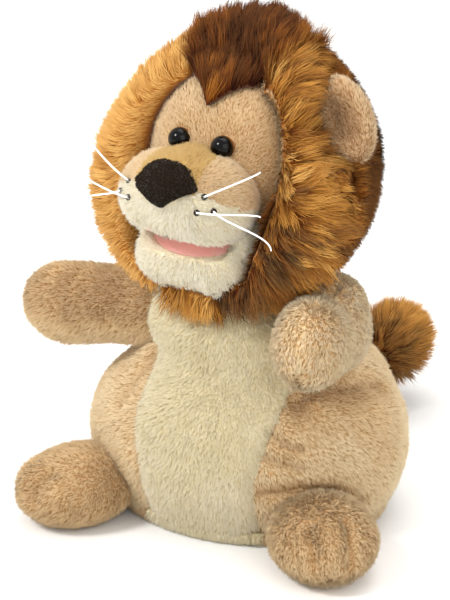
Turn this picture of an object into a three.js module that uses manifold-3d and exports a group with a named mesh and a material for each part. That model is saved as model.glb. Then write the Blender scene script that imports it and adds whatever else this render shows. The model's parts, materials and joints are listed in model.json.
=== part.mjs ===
// Lion hand puppet in plush, seated, built from its sewn panels, linings, fillings and trim.
// Millimetres, +Z up. The lion faces -Y, so its own left is +X.
import * as THREE from "three";
import { mergeVertices } from "three/addons/utils/BufferGeometryUtils.js";
import Module from "manifold-3d";

const wasm = await Module();
wasm.setup();

// Clearances
const FIT_GAP = 0.3; // between pieces that are sewn or glued together
const JOINT_GAP = 0.8; // between a round root and the hole that it turns in

// Fabrics
const PANEL_THICKNESS = 4; // body plush, backing and pile
const SKIN_THICKNESS = 3; // limb and face plush
const LINING_THICKNESS = 1.5;
const FELT_THICKNESS = 1.5;
const BOARD_THICKNESS = 1.2; // card stiffeners of the mouth
const THREAD_RADIUS = 0.6;

// Torso, each level given as height, half width and half depth
const HEM_HEIGHT = 8;
const HEM_HALF_WIDTH = 68;
const HEM_HALF_DEPTH = 55;
const HAUNCH_HEIGHT = 37;
const HAUNCH_HALF_WIDTH = 83;
const HAUNCH_HALF_DEPTH = 67;
const FLANK_HEIGHT = 70;
const FLANK_HALF_WIDTH = 72;
const FLANK_HALF_DEPTH = 60;
const WAIST_HEIGHT = 90;
const WAIST_HALF_WIDTH = 56;
const WAIST_HALF_DEPTH = 48;
const SHOULDER_HEIGHT = 106;
const SHOULDER_HALF_WIDTH = 52;
const SHOULDER_HALF_DEPTH = 46;
const TORSO_TOP = 120;
const NECK_HALF_WIDTH = 42;
const NECK_HALF_DEPTH = 38;
const BELLY_LOW_HALF_WIDTH = 31;
const BELLY_HIGH_HALF_WIDTH = 45;
const BACK_HALF_WIDTH = 34;

// Hand lining
const WRIST_HALF_WIDTH = 50;
const WRIST_HALF_DEPTH = 42;
const KNUCKLE_HEIGHT = 96;
const KNUCKLE_HALF_WIDTH = 37;
const KNUCKLE_HALF_DEPTH = 34;
const LINING_TOP = 107;
const FILLING_SLACK = 2.4; // the flanks' filling keeps this clear of the panels

// Neck
const NECK_PIVOT_RISE = 2; // above the torso's top
const NECK_PIVOT_HEIGHT = TORSO_TOP + NECK_PIVOT_RISE;
const NECK_FACETS = [24, 14]; // around and down
const NECK_BALL_RADIUS = 32;
const NECK_BORE_RADIUS = 26;
const COLLAR_BELOW = 13;
const COLLAR_ABOVE = 19;

// Head, measured from its centre, which lies above the neck pivot
const HEAD_RISE = 58;
const HEAD_FORWARD = 3;
const HEAD_TURN = 9; // degrees to the lion's right, as photographed
const CORE_HALF_WIDTH = 50;
const CORE_HALF_DEPTH = 45;
const CORE_HALF_HEIGHT = 52;
const CORE_SET_BACK = 4;
const BACK_PILE = 14;
const BACK_PANEL_FRONT = 4; // its front edge lies this far ahead of the core's middle
const POCKET_HALF_WIDTH = 21;
const POCKET_HALF_DEPTH = 17;
const POCKET_TOP = 14;

// Face window, a heart outline seen from the front
const FACE_LOBE_HEIGHT = 46;
const FACE_LOBE_OFFSET = 19;
const FACE_DIP_HEIGHT = 36;
const FACE_HALF_WIDTH = 41;
const FACE_WIDEST_HEIGHT = 2;
const FACE_BOTTOM = -40;
const FACE_BOTTOM_HALF_WIDTH = 33;

// Mane, a thick ruff along a tilted oval
const MANE_HALF_WIDTH = 53;
const MANE_HALF_HEIGHT = 50;
const MANE_CENTRE_HEIGHT = 9;
const MANE_RADIAL = 20; // half its thickness at the beard
const MANE_TOP_RADIAL = 14; // and at the crown
const MANE_AXIAL = 20;
const MANE_TOP_FORWARD = -13;
const MANE_BOTTOM_FORWARD = 36;
const MANE_FORWARD_EASE = 0.6; // under 1, it comes forward early on its way down from the crown
const MANE_SKIN = 6; // pile between the ruff and the face
const MANE_EGG = 0.2; // the ruff's share of width lost at the top and gained below
const CROWN_HALF_ANGLE = 24; // degrees from the top
const BEARD_HALF_WIDTH = 17;
const BEARD_DROP = 8; // the beard hangs this far below the neck pivot
const RUFF_CLEARANCE = 7; // the rest of the mane stays this far above it
const SHOULDER_SWEEP_RADIUS = 45.5; // the mane swings round the shoulders outside this ball

// Ears
const EAR_HALF_WIDTH = 15;
const EAR_HALF_HEIGHT = 21;
const EAR_HALF_THICKNESS = 5.5;
const EAR_OFFSET = 59;
const EAR_HEIGHT = 33;
const EAR_FORWARD = 2.5;
const EAR_LEAN = 20; // degrees inwards
const EAR_PARTING = 34; // the mane is parted this far ahead of the left one
const RIGHT_EAR_FOLD = 60; // degrees that the right one lies back

// Muzzle
const LOBE_OFFSET = 15;
const LOBE_HALF_WIDTH = 21;
const LOBE_HALF_DEPTH = 21;
const LOBE_HALF_HEIGHT = 19;
const LOBE_FORWARD = 48;
const LOBE_HEIGHT = -4;
const BRIDGE_HALF_WIDTH = 17;
const BRIDGE_HALF_DEPTH = 27;
const BRIDGE_HALF_HEIGHT = 15;
const BRIDGE_FORWARD = 46;
const BRIDGE_HEIGHT = 6;
const BRIDGE_PATCH_HALF_WIDTH = 16;
const BRIDGE_PATCH_LOW = 5;
const MOUTH_ROOF = -17;
const MOUTH_HALF_WIDTH = 26;
const MOUTH_LENGTH = 27;
const MOUTH_FLOOR_LENGTH = MOUTH_LENGTH - 6; // the lower lip is shorter

// Nose
const NOSE_HALF_WIDTH = 16;
const NOSE_TOP = 18.5;
const NOSE_SHOULDER = 8;
const NOSE_TIP = -3;
const NOSE_THICKNESS = 2.5;
const NOSE_SQUARENESS = 0.7; // share of its half width that the top edge keeps level

// Eyes
const EYE_RADIUS = 5.75;
const EYE_OFFSET = 12.5;
const EYE_HEIGHT = 20.5;
const EYE_SINK = EYE_RADIUS / 4; // behind the face's surface
const EYE_STEM_RADIUS = 2;
const EYE_STEM_LENGTH = 14;
const WASHER_RADIUS = 7;
const WASHER_THICKNESS = 1.6;

// Whiskers and their dots, on the left cheek; the right cheek mirrors them
const WHISKER_LENGTH = 34;
const WHISKER_SWEEP = 0.15; // backward, for each millimetre sideways
const DOT_RADIUS = 1.6;
const DOT_STAND = 0.6;

// Jaw
const JAW_HINGE_FORWARD = 34;
const JAW_HINGE_HEIGHT = -24.5;
const JAW_DROP = 17; // degrees open at rest
const JAW_CLOSES = 17; // degrees
const JAW_OPENS = 8; // degrees
const JAW_LOBE_OFFSET = 10;
const JAW_LOBE_HALF_WIDTH = 20;
const JAW_LOBE_HALF_DEPTH = 20;
const JAW_LOBE_HALF_HEIGHT = 20;
const JAW_FORWARD = 4; // of the hinge
const JAW_BELOW = 8; // the hinge
const THUMB_RADIUS = 8.5;
const THUMB_HEIGHT = -37;
const THUMB_DEPTH = 47; // forward of the head's centre

// Arms
const ARM_ROOT_RADIUS = 17.5;
const ARM_ROOT_TRIM = 5;
const ARM_NECK_RADIUS = 14;
const ARM_NECK_AT = 13;
const ARM_PAW_RADIUS = 20.5;
const ARM_PAW_AT = 38;
const ARM_LENGTH = 62;
const ARM_TIP_ROUND = 0.28; // share of the paw's radius that its rounded end takes
const SHOULDER_OFFSET = 54;
const ARM_HEIGHT = 101;
const LEFT_SHOULDER_LIFT = 5; // the left arm is raised and drawn to the front
const LEFT_SHOULDER_INSET = 3;
const LEFT_SHOULDER_FORWARD = 7;
const ARM_FORWARD = 13;
const ARMHOLE_EASE = 3; // extra room in the belly panel where the arm points forward
const RIGHT_ARM_AIM = new THREE.Vector3(-0.975, -0.21, -0.05);
const LEFT_ARM_AIM = new THREE.Vector3(0.2, -0.94, 0.23);

// Feet
const FOOT_HALF_LENGTH = 31;
const FOOT_HALF_WIDTH = 25;
const FOOT_HALF_HEIGHT = 18.5;
const FOOT_HEIGHT = 17.5;
const FOOT_OFFSET = 68;
const FOOT_FORWARD = 60;
const FOOT_SPLAY = 34; // degrees
const TOE_OFFSET = 9;
const TOE_LINE_ANGLES = [66, 44, 22, 0, -20]; // degrees above the foot's middle

// Tail
const TAIL_RADIUS = 7.5;
const TAIL_HEIGHT = 20;
const TAIL_LENGTH = 66;
const TAIL_RISE = 8;
const TAIL_SWAY = 13; // towards the lion's left
const TUFT_HALF_LENGTH = 24;
const TUFT_RADIUS = 19;

// Solids from geometry, and back

function toSolid(geometry) {
  const bare = new THREE.BufferGeometry();
  bare.setAttribute("position", geometry.getAttribute("position").clone());
  if (geometry.index) bare.setIndex(geometry.index.clone());
  const merged = mergeVertices(bare, 1e-4);
  const vertProperties = new Float32Array(merged.getAttribute("position").array);
  const triVerts = new Uint32Array(merged.index.array);
  return new wasm.Manifold(new wasm.Mesh({ numProp: 3, vertProperties, triVerts }));
}

function toGeometry(solid) {
  const mesh = solid.getMesh();
  const geometry = new THREE.BufferGeometry();
  const positions = new Float32Array(mesh.numVert * 3);
  for (let i = 0; i < mesh.numVert; i++) {
    positions.set(mesh.vertProperties.subarray(i * mesh.numProp, i * mesh.numProp + 3), i * 3);
  }
  geometry.setAttribute("position", new THREE.BufferAttribute(positions, 3));
  geometry.setIndex(new THREE.BufferAttribute(new Uint32Array(mesh.triVerts), 1));
  geometry.computeVertexNormals();
  return geometry;
}

function cut(solid, ...tools) {
  return tools.reduce((left, tool) => left.subtract(tool), solid);
}

function join(...solids) {
  return solids.reduce((made, solid) => made.add(solid));
}

// Basic forms

function ball(radius, [x, y, z], around = 18, down = 10) {
  const geometry = new THREE.SphereGeometry(radius, around, down);
  return toSolid(geometry.rotateX(Math.PI / 2).translate(x, y, z));
}

function egg([rx, ry, rz], [x, y, z], around = 14, down = 8) {
  const geometry = new THREE.SphereGeometry(1, around, down).rotateX(Math.PI / 2);
  return toSolid(geometry.scale(rx, ry, rz).translate(x, y, z));
}

function block([x0, y0, z0], [x1, y1, z1]) {
  const geometry = new THREE.BoxGeometry(x1 - x0, y1 - y0, z1 - z0);
  return toSolid(geometry.translate((x0 + x1) / 2, (y0 + y1) / 2, (z0 + z1) / 2));
}

function rod(radius, length, sides = 16) {
  return new THREE.CylinderGeometry(radius, radius, length, sides);
}

// An outline drawn in x and z, carried along y from y0 to y1.
function prism(shape, y0, y1, curveSegments = 6) {
  const settings = { depth: y1 - y0, bevelEnabled: false, curveSegments };
  const geometry = new THREE.ExtrudeGeometry(shape, settings);
  return toSolid(geometry.rotateX(Math.PI / 2).translate(0, y1, 0));
}

// A closed skin through rings of equal count, with a fan at each end.
function loft(rings) {
  const count = rings[0].length;
  const points = rings.flat();
  const middle = (ring) => ring.reduce((sum, p) => sum.add(p), new THREE.Vector3()).divideScalar(count);
  points.push(middle(rings[0]), middle(rings[rings.length - 1]));
  const first = points.length - 2;
  const last = points.length - 1;
  const top = (rings.length - 1) * count;
  const faces = [];
  for (let i = 0; i < count; i++) {
    const next = (i + 1) % count;
    for (let r = 0; r < rings.length - 1; r++) {
      const a = r * count;
      const b = a + count;
      faces.push(a + i, a + next, b + next, a + i, b + next, b + i);
    }
    faces.push(first, next, i, last, top + i, top + next);
  }
  const geometry = new THREE.BufferGeometry().setFromPoints(points);
  geometry.setIndex(faces);
  const made = toSolid(geometry);
  return made.volume() > 0 ? made : toSolid(geometry.setIndex([...faces].reverse()));
}

// A round thread along a curve.
function thread(curve, radius, steps, sides = 6) {
  const section = new THREE.Shape();
  for (let i = 0; i < sides; i++) {
    const angle = (2 * Math.PI * i) / sides;
    const point = [radius * Math.cos(angle), radius * Math.sin(angle)];
    if (i === 0) section.moveTo(...point);
    else section.lineTo(...point);
  }
  section.closePath();
  return toSolid(new THREE.ExtrudeGeometry(section, { steps, extrudePath: curve, bevelEnabled: false }));
}

const radians = THREE.MathUtils.degToRad;

function turnedAbout(solid, [x, y, z], axisDegrees) {
  return solid.translate([-x, -y, -z]).rotate(axisDegrees).translate([x, y, z]);
}

// Finishes

function plush(colour) {
  return new THREE.MeshStandardMaterial({ color: colour, roughness: 0.95, metalness: 0 });
}

const FINISH = {
  tan: plush("#c9a06c"),
  cream: plush("#e6d9b4"),
  golden: plush("#c98a35"),
  brown: plush("#6b3a1a"),
  bridge: plush("#bf9350"),
  felt: plush("#2a211b"),
  pink: plush("#dd9a90"),
  thread: plush("#f4f2ec"),
  stitch: plush("#6d4a2a"),
  filling: plush("#f2f0ea"),
  lining: plush("#d8c49a"),
  board: plush("#b9a27c"),
  dot: plush("#1f1a17"),
  eye: new THREE.MeshStandardMaterial({ color: "#17120e", roughness: 0.08, metalness: 0 }),
  washer: new THREE.MeshStandardMaterial({ color: "#e8e6e0", roughness: 0.5, metalness: 0 }),
};

function piece(name, solid, finish) {
  const mesh = new THREE.Mesh(toGeometry(solid), FINISH[finish]);
  mesh.name = name;
  return mesh;
}

const SIDES = [
  { side: "left", sign: 1 },
  { side: "right", sign: -1 },
];

// Torso

const TORSO_LEVELS = [
  [0, HEM_HALF_WIDTH, HEM_HALF_DEPTH],
  [HAUNCH_HEIGHT, HAUNCH_HALF_WIDTH, HAUNCH_HALF_DEPTH],
  [FLANK_HEIGHT, FLANK_HALF_WIDTH, FLANK_HALF_DEPTH],
  [WAIST_HEIGHT, WAIST_HALF_WIDTH, WAIST_HALF_DEPTH],
  [SHOULDER_HEIGHT, SHOULDER_HALF_WIDTH, SHOULDER_HALF_DEPTH],
  [TORSO_TOP, NECK_HALF_WIDTH, NECK_HALF_DEPTH],
];

const LINING_LEVELS = [
  [0, WRIST_HALF_WIDTH, WRIST_HALF_DEPTH],
  [KNUCKLE_HEIGHT, KNUCKLE_HALF_WIDTH, KNUCKLE_HALF_DEPTH],
  [LINING_TOP, KNUCKLE_HALF_WIDTH, KNUCKLE_HALF_DEPTH],
];

function ovalRing(width, depth, height, count) {
  const ring = [];
  for (let i = 0; i < count; i++) {
    const angle = (2 * Math.PI * i) / count;
    ring.push(new THREE.Vector3(width * Math.cos(angle), depth * Math.sin(angle), height));
  }
  return ring;
}

// Oval rings through the levels, grown outwards and carried past either end.
function ovalLoft(levels, { grow = 0, rings = 9, count = 20, below = 0, above = 0 } = {}) {
  const curve = new THREE.CatmullRomCurve3(levels.map(([h, w, d]) => new THREE.Vector3(w, d, h)));
  const stations = curve.getPoints(rings).map((p) => [p.x + grow, p.y + grow, p.z]);
  if (below) stations.unshift([stations[0][0], stations[0][1], stations[0][2] - below]);
  const end = stations[stations.length - 1];
  if (above) stations.push([end[0], end[1], end[2] + above]);
  return loft(stations.map(([w, d, h]) => ovalRing(w, d, h, count)));
}

const BEYOND = 60; // how far a cutting tool reaches past what it cuts
const PIVOT = [0, 0, NECK_PIVOT_HEIGHT];
const torsoForm = (grow = 0) => ovalLoft(TORSO_LEVELS, { grow });
const torsoHollow = ovalLoft(TORSO_LEVELS, { grow: -PANEL_THICKNESS, below: PANEL_THICKNESS });
const liningForm = (grow = 0) =>
  ovalLoft(LINING_LEVELS, { grow, rings: 3, count: 16, below: BEYOND, above: grow < 0 ? BEYOND : 0 });

// The front panel, narrow over the haunches and wide at the chest.
function bellyTool(grow) {
  const low = BELLY_LOW_HALF_WIDTH + grow;
  const high = BELLY_HIGH_HALF_WIDTH + grow;
  const top = TORSO_TOP + BEYOND;
  const shape = new THREE.Shape();
  shape.moveTo(-low, -BEYOND);
  shape.lineTo(low, -BEYOND);
  shape.lineTo(low, HAUNCH_HEIGHT);
  shape.lineTo(high, WAIST_HEIGHT);
  shape.lineTo(high, top);
  shape.lineTo(-high, top);
  shape.lineTo(-high, WAIST_HEIGHT);
  shape.lineTo(-low, HAUNCH_HEIGHT);
  shape.closePath();
  return prism(shape, -HAUNCH_HALF_DEPTH - BEYOND, 0);
}

function backTool(grow) {
  const half = BACK_HALF_WIDTH + grow;
  return block([-half, 0, -BEYOND], [half, HAUNCH_HALF_DEPTH + BEYOND, TORSO_TOP + BEYOND]);
}

const shoulderOf = (sign) =>
  sign > 0
    ? [
        SHOULDER_OFFSET - LEFT_SHOULDER_INSET,
        -ARM_FORWARD - LEFT_SHOULDER_FORWARD,
        ARM_HEIGHT + LEFT_SHOULDER_LIFT,
      ]
    : [-SHOULDER_OFFSET, -ARM_FORWARD, ARM_HEIGHT];
const tailRoot = [0, HAUNCH_HALF_DEPTH - PANEL_THICKNESS / 2, TAIL_HEIGHT];

function torsoPieces() {
  const wide = HAUNCH_HALF_WIDTH + BEYOND;
  const deep = HAUNCH_HALF_DEPTH + BEYOND;
  const belowHem = block([-wide, -deep, -BEYOND], [wide, deep, HEM_HEIGHT]);
  const underCap = block([-wide, -deep, TORSO_TOP - PANEL_THICKNESS], [wide, deep, TORSO_TOP + BEYOND]);
  const neckHole = ball(NECK_BALL_RADIUS + JOINT_GAP, PIVOT, ...NECK_FACETS);
  const hollow = torsoHollow.subtract(underCap);
  const shell = cut(torsoForm(), hollow, neckHole, belowHem);
  const skirts = cut(shell, bellyTool(FIT_GAP), backTool(FIT_GAP));
  const tailHole = ball(TAIL_RADIUS + JOINT_GAP, tailRoot, 16, 10);
  const aboveHem = block([-wide, -deep, HEM_HEIGHT - FIT_GAP], [wide, deep, TORSO_TOP + BEYOND]);
  const hem = cut(torsoForm(), liningForm(-LINING_THICKNESS), aboveHem);
  const lining = cut(
    liningForm(),
    liningForm(-LINING_THICKNESS),
    block([-wide, -deep, -BEYOND * 2], [wide, deep, HEM_HEIGHT]),
  );
  const aboveLining = block([-wide, -deep, LINING_TOP], [wide, deep, TORSO_TOP + BEYOND]);
  const inner = ovalLoft(TORSO_LEVELS, { grow: -PANEL_THICKNESS - FILLING_SLACK, rings: 9, count: 12 });
  const stuffing = cut(inner, liningForm(FIT_GAP), belowHem, aboveLining, tailHole);

  const armHole = (sign, ease) => ball(ARM_ROOT_RADIUS + JOINT_GAP + ease, shoulderOf(sign));
  const armHoles = SIDES.map(({ sign }) => armHole(sign, 0));
  const easedHoles = SIDES.map(({ sign }) => armHole(sign, ARMHOLE_EASE));

  const made = [
    piece("belly_panel", cut(shell.intersect(bellyTool(0)), ...easedHoles), "cream"),
    piece("back_panel", shell.intersect(backTool(0)).subtract(tailHole), "tan"),
    piece("hem_band", hem, "cream"),
    piece("hand_lining", lining, "lining"),
  ];
  for (const { side, sign } of SIDES) {
    const half = block(
      [sign > 0 ? FIT_GAP / 2 : -wide, -deep, -BEYOND],
      [sign > 0 ? wide : -FIT_GAP / 2, deep, TORSO_TOP + BEYOND],
    );
    made.push(
      piece(`${side}_flank_panel`, cut(skirts.intersect(half), ...armHoles), "tan"),
      piece(`${side}_body_filling`, cut(stuffing.intersect(half), ...armHoles), "filling"),
    );
  }
  return made;
}

// Neck collar, a padded roll with a round outside that the neck seams ride on

function neckCollar() {
  const reach = NECK_BALL_RADIUS + BEYOND;
  const [, , pivot] = PIVOT;
  const low = block([-reach, -reach, pivot - reach], [reach, reach, pivot - COLLAR_BELOW]);
  const high = block([-reach, -reach, pivot + COLLAR_ABOVE], [reach, reach, pivot + reach]);
  const bore = toSolid(rod(NECK_BORE_RADIUS, 2 * reach, 24).rotateX(Math.PI / 2).translate(...PIVOT));
  return piece("neck_collar", cut(ball(NECK_BALL_RADIUS, PIVOT, ...NECK_FACETS), bore, low, high), "lining");
}

// Head, drawn about its own centre with the face towards -Y

const toNeck = [0, HEAD_FORWARD, -HEAD_RISE]; // the neck pivot seen from the head's centre
const headBack = CORE_HALF_DEPTH + BACK_PILE + BEYOND;
const neckSocket = () => ball(NECK_BALL_RADIUS + JOINT_GAP, toNeck, ...NECK_FACETS);
const coreForm = (grow = 0) =>
  egg(
    [CORE_HALF_WIDTH + grow, CORE_HALF_DEPTH + grow, CORE_HALF_HEIGHT + grow],
    [0, CORE_SET_BACK, 0],
    20,
    12,
  );

function faceTool(grow) {
  const w = FACE_HALF_WIDTH + grow;
  const low = FACE_BOTTOM - grow;
  const lobe = FACE_LOBE_HEIGHT + grow;
  const chin = FACE_BOTTOM_HALF_WIDTH + grow;
  const shape = new THREE.Shape();
  shape.moveTo(0, FACE_DIP_HEIGHT + grow);
  shape.quadraticCurveTo(FACE_LOBE_OFFSET / 2, lobe, FACE_LOBE_OFFSET, lobe);
  shape.quadraticCurveTo(w, lobe - FACE_LOBE_OFFSET / 2, w, FACE_WIDEST_HEIGHT);
  shape.quadraticCurveTo(w, low / 2, chin, low);
  shape.lineTo(-chin, low);
  shape.quadraticCurveTo(-w, low / 2, -w, FACE_WIDEST_HEIGHT);
  shape.quadraticCurveTo(-w, lobe - FACE_LOBE_OFFSET / 2, -FACE_LOBE_OFFSET, lobe);
  shape.quadraticCurveTo(-FACE_LOBE_OFFSET / 2, lobe, 0, FACE_DIP_HEIGHT + grow);
  return prism(shape, -headBack - BEYOND, CORE_SET_BACK, 4);
}

function maneForm(grow = 0) {
  const stations = 20;
  const sides = 8;
  const points = [];
  const faces = [];
  for (let i = 0; i < stations; i++) {
    const t = (2 * Math.PI * i) / stations;
    const out = new THREE.Vector3(Math.sin(t), 0, Math.cos(t));
    const share = (1 - Math.cos(t)) / 2;
    const forward = MANE_TOP_FORWARD + (MANE_BOTTOM_FORWARD - MANE_TOP_FORWARD) * share ** MANE_FORWARD_EASE;
    const centre = new THREE.Vector3(
      MANE_HALF_WIDTH * (1 - MANE_EGG * Math.cos(t)) * Math.sin(t),
      -forward,
      MANE_CENTRE_HEIGHT + MANE_HALF_HEIGHT * Math.cos(t),
    );
    for (let k = 0; k < sides; k++) {
      const angle = (2 * Math.PI * k) / sides;
      const radial = MANE_TOP_RADIAL + (MANE_RADIAL - MANE_TOP_RADIAL) * share + grow;
      const point = centre.clone().addScaledVector(out, radial * Math.cos(angle));
      point.y += (MANE_AXIAL + grow) * Math.sin(angle);
      points.push(point);
      const next = (k + 1) % sides;
      const a = i * sides;
      const b = ((i + 1) % stations) * sides;
      faces.push(a + k, b + k, b + next, a + k, b + next, a + next);
    }
  }
  const geometry = new THREE.BufferGeometry().setFromPoints(points);
  geometry.setIndex(faces);
  const made = toSolid(geometry);
  return made.volume() > 0 ? made : toSolid(geometry.setIndex([...faces].reverse()));
}

function earForm(sign, grow = 0) {
  const ear = egg(
    [EAR_HALF_WIDTH + grow, EAR_HALF_THICKNESS + grow, EAR_HALF_HEIGHT + grow],
    [0, 0, 0],
    12,
    6,
  );
  const rootUp = EAR_HALF_HEIGHT * Math.cos(radians(EAR_LEAN));
  const rootOut = EAR_HALF_HEIGHT * Math.sin(radians(EAR_LEAN));
  const root = [sign * (EAR_OFFSET + rootOut), -EAR_FORWARD, EAR_HEIGHT - rootUp];
  const turn = [sign > 0 ? 0 : -RIGHT_EAR_FOLD, -sign * EAR_LEAN, 0];
  return ear.translate([0, 0, EAR_HALF_HEIGHT]).rotate(turn).translate(root);
}

function earParting() {
  const outline = new THREE.Shape();
  const half = [EAR_HALF_WIDTH, EAR_HALF_HEIGHT];
  outline.absellipse(EAR_OFFSET, EAR_HEIGHT, ...half, 0, 2 * Math.PI, false, radians(EAR_LEAN));
  return prism(outline, -EAR_FORWARD - EAR_PARTING, -EAR_FORWARD);
}

function muzzleForm(grow = 0) {
  const lobe = [LOBE_HALF_WIDTH + grow, LOBE_HALF_DEPTH + grow, LOBE_HALF_HEIGHT + grow];
  const bridge = [BRIDGE_HALF_WIDTH + grow, BRIDGE_HALF_DEPTH + grow, BRIDGE_HALF_HEIGHT + grow];
  return join(
    egg(lobe, [LOBE_OFFSET, -LOBE_FORWARD, LOBE_HEIGHT]),
    egg(lobe, [-LOBE_OFFSET, -LOBE_FORWARD, LOBE_HEIGHT]),
    egg(bridge, [0, -BRIDGE_FORWARD, BRIDGE_HEIGHT]),
  );
}

function noseTool(grow) {
  const w = NOSE_HALF_WIDTH + grow;
  const top = NOSE_TOP + grow;
  const tip = NOSE_TIP - grow;
  const shape = new THREE.Shape();
  shape.moveTo(0, tip);
  shape.lineTo(w, NOSE_SHOULDER);
  shape.quadraticCurveTo(w * NOSE_SQUARENESS, top, 0, top);
  shape.quadraticCurveTo(-w * NOSE_SQUARENESS, top, -w, NOSE_SHOULDER);
  shape.closePath();
  return prism(shape, -BRIDGE_FORWARD - headBack, -BRIDGE_FORWARD, 5);
}

// Where the muzzle's left or right lobe has its front surface, at a place across and a height.
function cheekFront(across, height) {
  const u = (across - LOBE_OFFSET) / LOBE_HALF_WIDTH;
  const v = (height - LOBE_HEIGHT) / LOBE_HALF_HEIGHT;
  return -LOBE_FORWARD - LOBE_HALF_DEPTH * Math.sqrt(Math.max(0.05, 1 - u * u - v * v));
}

const DOTS = [
  { across: 22, height: 5, rise: 0.55 },
  { across: 20, height: -2, rise: 0.12 },
  { across: 27, height: -1, rise: -0.5 },
];

const eyeSeat = (() => {
  const u = EYE_OFFSET / (CORE_HALF_WIDTH + SKIN_THICKNESS);
  const v = EYE_HEIGHT / (CORE_HALF_HEIGHT + SKIN_THICKNESS);
  return CORE_SET_BACK - (CORE_HALF_DEPTH + SKIN_THICKNESS) * Math.sqrt(1 - u * u - v * v);
})();

function eyePieces() {
  const made = { eyes: [], tools: [] };
  for (const { side, sign } of SIDES) {
    const centre = [sign * EYE_OFFSET, eyeSeat + EYE_SINK, EYE_HEIGHT];
    const [x, y, z] = centre;
    const stem = (grow) =>
      toSolid(
        rod(EYE_STEM_RADIUS + grow, EYE_STEM_LENGTH + grow, 8).translate(x, y + EYE_STEM_LENGTH / 2, z),
      );
    const washerAt = y + EYE_RADIUS + FIT_GAP + WASHER_THICKNESS / 2;
    const washer = (grow) =>
      toSolid(rod(WASHER_RADIUS + grow, WASHER_THICKNESS + 2 * grow, 10).translate(x, washerAt, z));
    made.eyes.push(
      piece(`${side}_eye`, join(ball(EYE_RADIUS, centre, 10, 7), stem(0)), "eye"),
      piece(`${side}_eye_washer`, washer(0).subtract(stem(FIT_GAP)), "washer"),
    );
    made.tools.push(ball(EYE_RADIUS + 2 * FIT_GAP, centre, 10, 7), stem(FIT_GAP * 2), washer(FIT_GAP));
  }
  return made;
}

const jawHinge = [0, -JAW_HINGE_FORWARD, JAW_HINGE_HEIGHT];

// The jaw about its hinge, dropped open from level by an angle in degrees.
function jawForm(grow, drop) {
  const radii = [JAW_LOBE_HALF_WIDTH + grow, JAW_LOBE_HALF_DEPTH + grow, JAW_LOBE_HALF_HEIGHT + grow];
  const lobes = join(
    egg(radii, [JAW_LOBE_OFFSET, -JAW_FORWARD, -JAW_BELOW]),
    egg(radii, [-JAW_LOBE_OFFSET, -JAW_FORWARD, -JAW_BELOW]),
  );
  return lobes.rotate([drop, 0, 0]).translate(jawHinge);
}

// A flat mouth plate with a round front, from its back edge forward, below a given top.
function mouthPlate(back, length, top, thickness) {
  const shape = new THREE.Shape();
  const straight = length - MOUTH_HALF_WIDTH / 2;
  shape.moveTo(-MOUTH_HALF_WIDTH, 0);
  shape.lineTo(MOUTH_HALF_WIDTH, 0);
  shape.lineTo(MOUTH_HALF_WIDTH, -straight);
  shape.quadraticCurveTo(MOUTH_HALF_WIDTH, -length, 0, -length);
  shape.quadraticCurveTo(-MOUTH_HALF_WIDTH, -length, -MOUTH_HALF_WIDTH, -straight);
  shape.closePath();
  const settings = { depth: thickness, bevelEnabled: false, curveSegments: 5 };
  const geometry = new THREE.ExtrudeGeometry(shape, settings);
  return toSolid(geometry.translate(0, back, top - thickness));
}

function manePieces(mane) {
  const reach = headBack + BEYOND;
  const pivotZ = toNeck[2];
  const crownSpread = Math.tan(radians(CROWN_HALF_ANGLE)) * reach;
  const crownTool = (grow) => {
    const shape = new THREE.Shape();
    shape.moveTo(0, -grow / Math.sin(radians(CROWN_HALF_ANGLE)));
    shape.lineTo(crownSpread + grow, reach);
    shape.lineTo(-crownSpread - grow, reach);
    shape.closePath();
    return prism(shape, -reach, reach);
  };
  const beardTool = (grow) =>
    block([-BEARD_HALF_WIDTH - grow, -reach, -reach], [BEARD_HALF_WIDTH + grow, reach, 0]);
  const belowBeard = block([-reach, -reach, -reach], [reach, reach, pivotZ - BEARD_DROP]);
  const belowRuff = block([-reach, -reach, -reach], [reach, reach, pivotZ + RUFF_CLEARANCE]);
  const ruff = cut(mane, belowRuff, crownTool(FIT_GAP), beardTool(FIT_GAP));
  const halfOf = (sign) =>
    block([sign > 0 ? FIT_GAP / 2 : -reach, -reach, -reach], [sign > 0 ? reach : -FIT_GAP / 2, reach, reach]);
  return [
    piece("mane_crown", mane.intersect(crownTool(0)), "brown"),
    piece("mane_beard", cut(mane.intersect(beardTool(0)), belowBeard), "golden"),
    piece("mane_left", ruff.intersect(halfOf(1)), "golden"),
    piece("mane_right", ruff.intersect(halfOf(-1)), "golden"),
  ];
}

function muzzlePieces(nose, eyeTools) {
  const reach = headBack;
  const belowRoof = block([-reach, -reach - BEYOND, -reach], [reach, reach, MOUTH_ROOF]);
  const muzzle = cut(muzzleForm(), coreForm(SKIN_THICKNESS + FIT_GAP), belowRoof, nose, ...eyeTools);
  const patch = (grow) => {
    const half = BRIDGE_PATCH_HALF_WIDTH + grow;
    return block([-half, -reach - BEYOND, BRIDGE_PATCH_LOW - grow], [half, reach, reach]);
  };
  const back = -JAW_HINGE_FORWARD - FIT_GAP;
  const boardTop = MOUTH_ROOF - FIT_GAP;
  const feltTop = boardTop - BOARD_THICKNESS - FIT_GAP;
  const clear = coreForm(SKIN_THICKNESS + FIT_GAP);
  return [
    piece("muzzle_cheeks", muzzle.subtract(patch(FIT_GAP)), "cream"),
    piece("muzzle_bridge", muzzle.intersect(patch(0)), "bridge"),
    piece("palate_board", mouthPlate(back, MOUTH_LENGTH, boardTop, BOARD_THICKNESS).subtract(clear), "board"),
    piece("palate_felt", mouthPlate(back, MOUTH_LENGTH, feltTop, FELT_THICKNESS).subtract(clear), "pink"),
  ];
}

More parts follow.
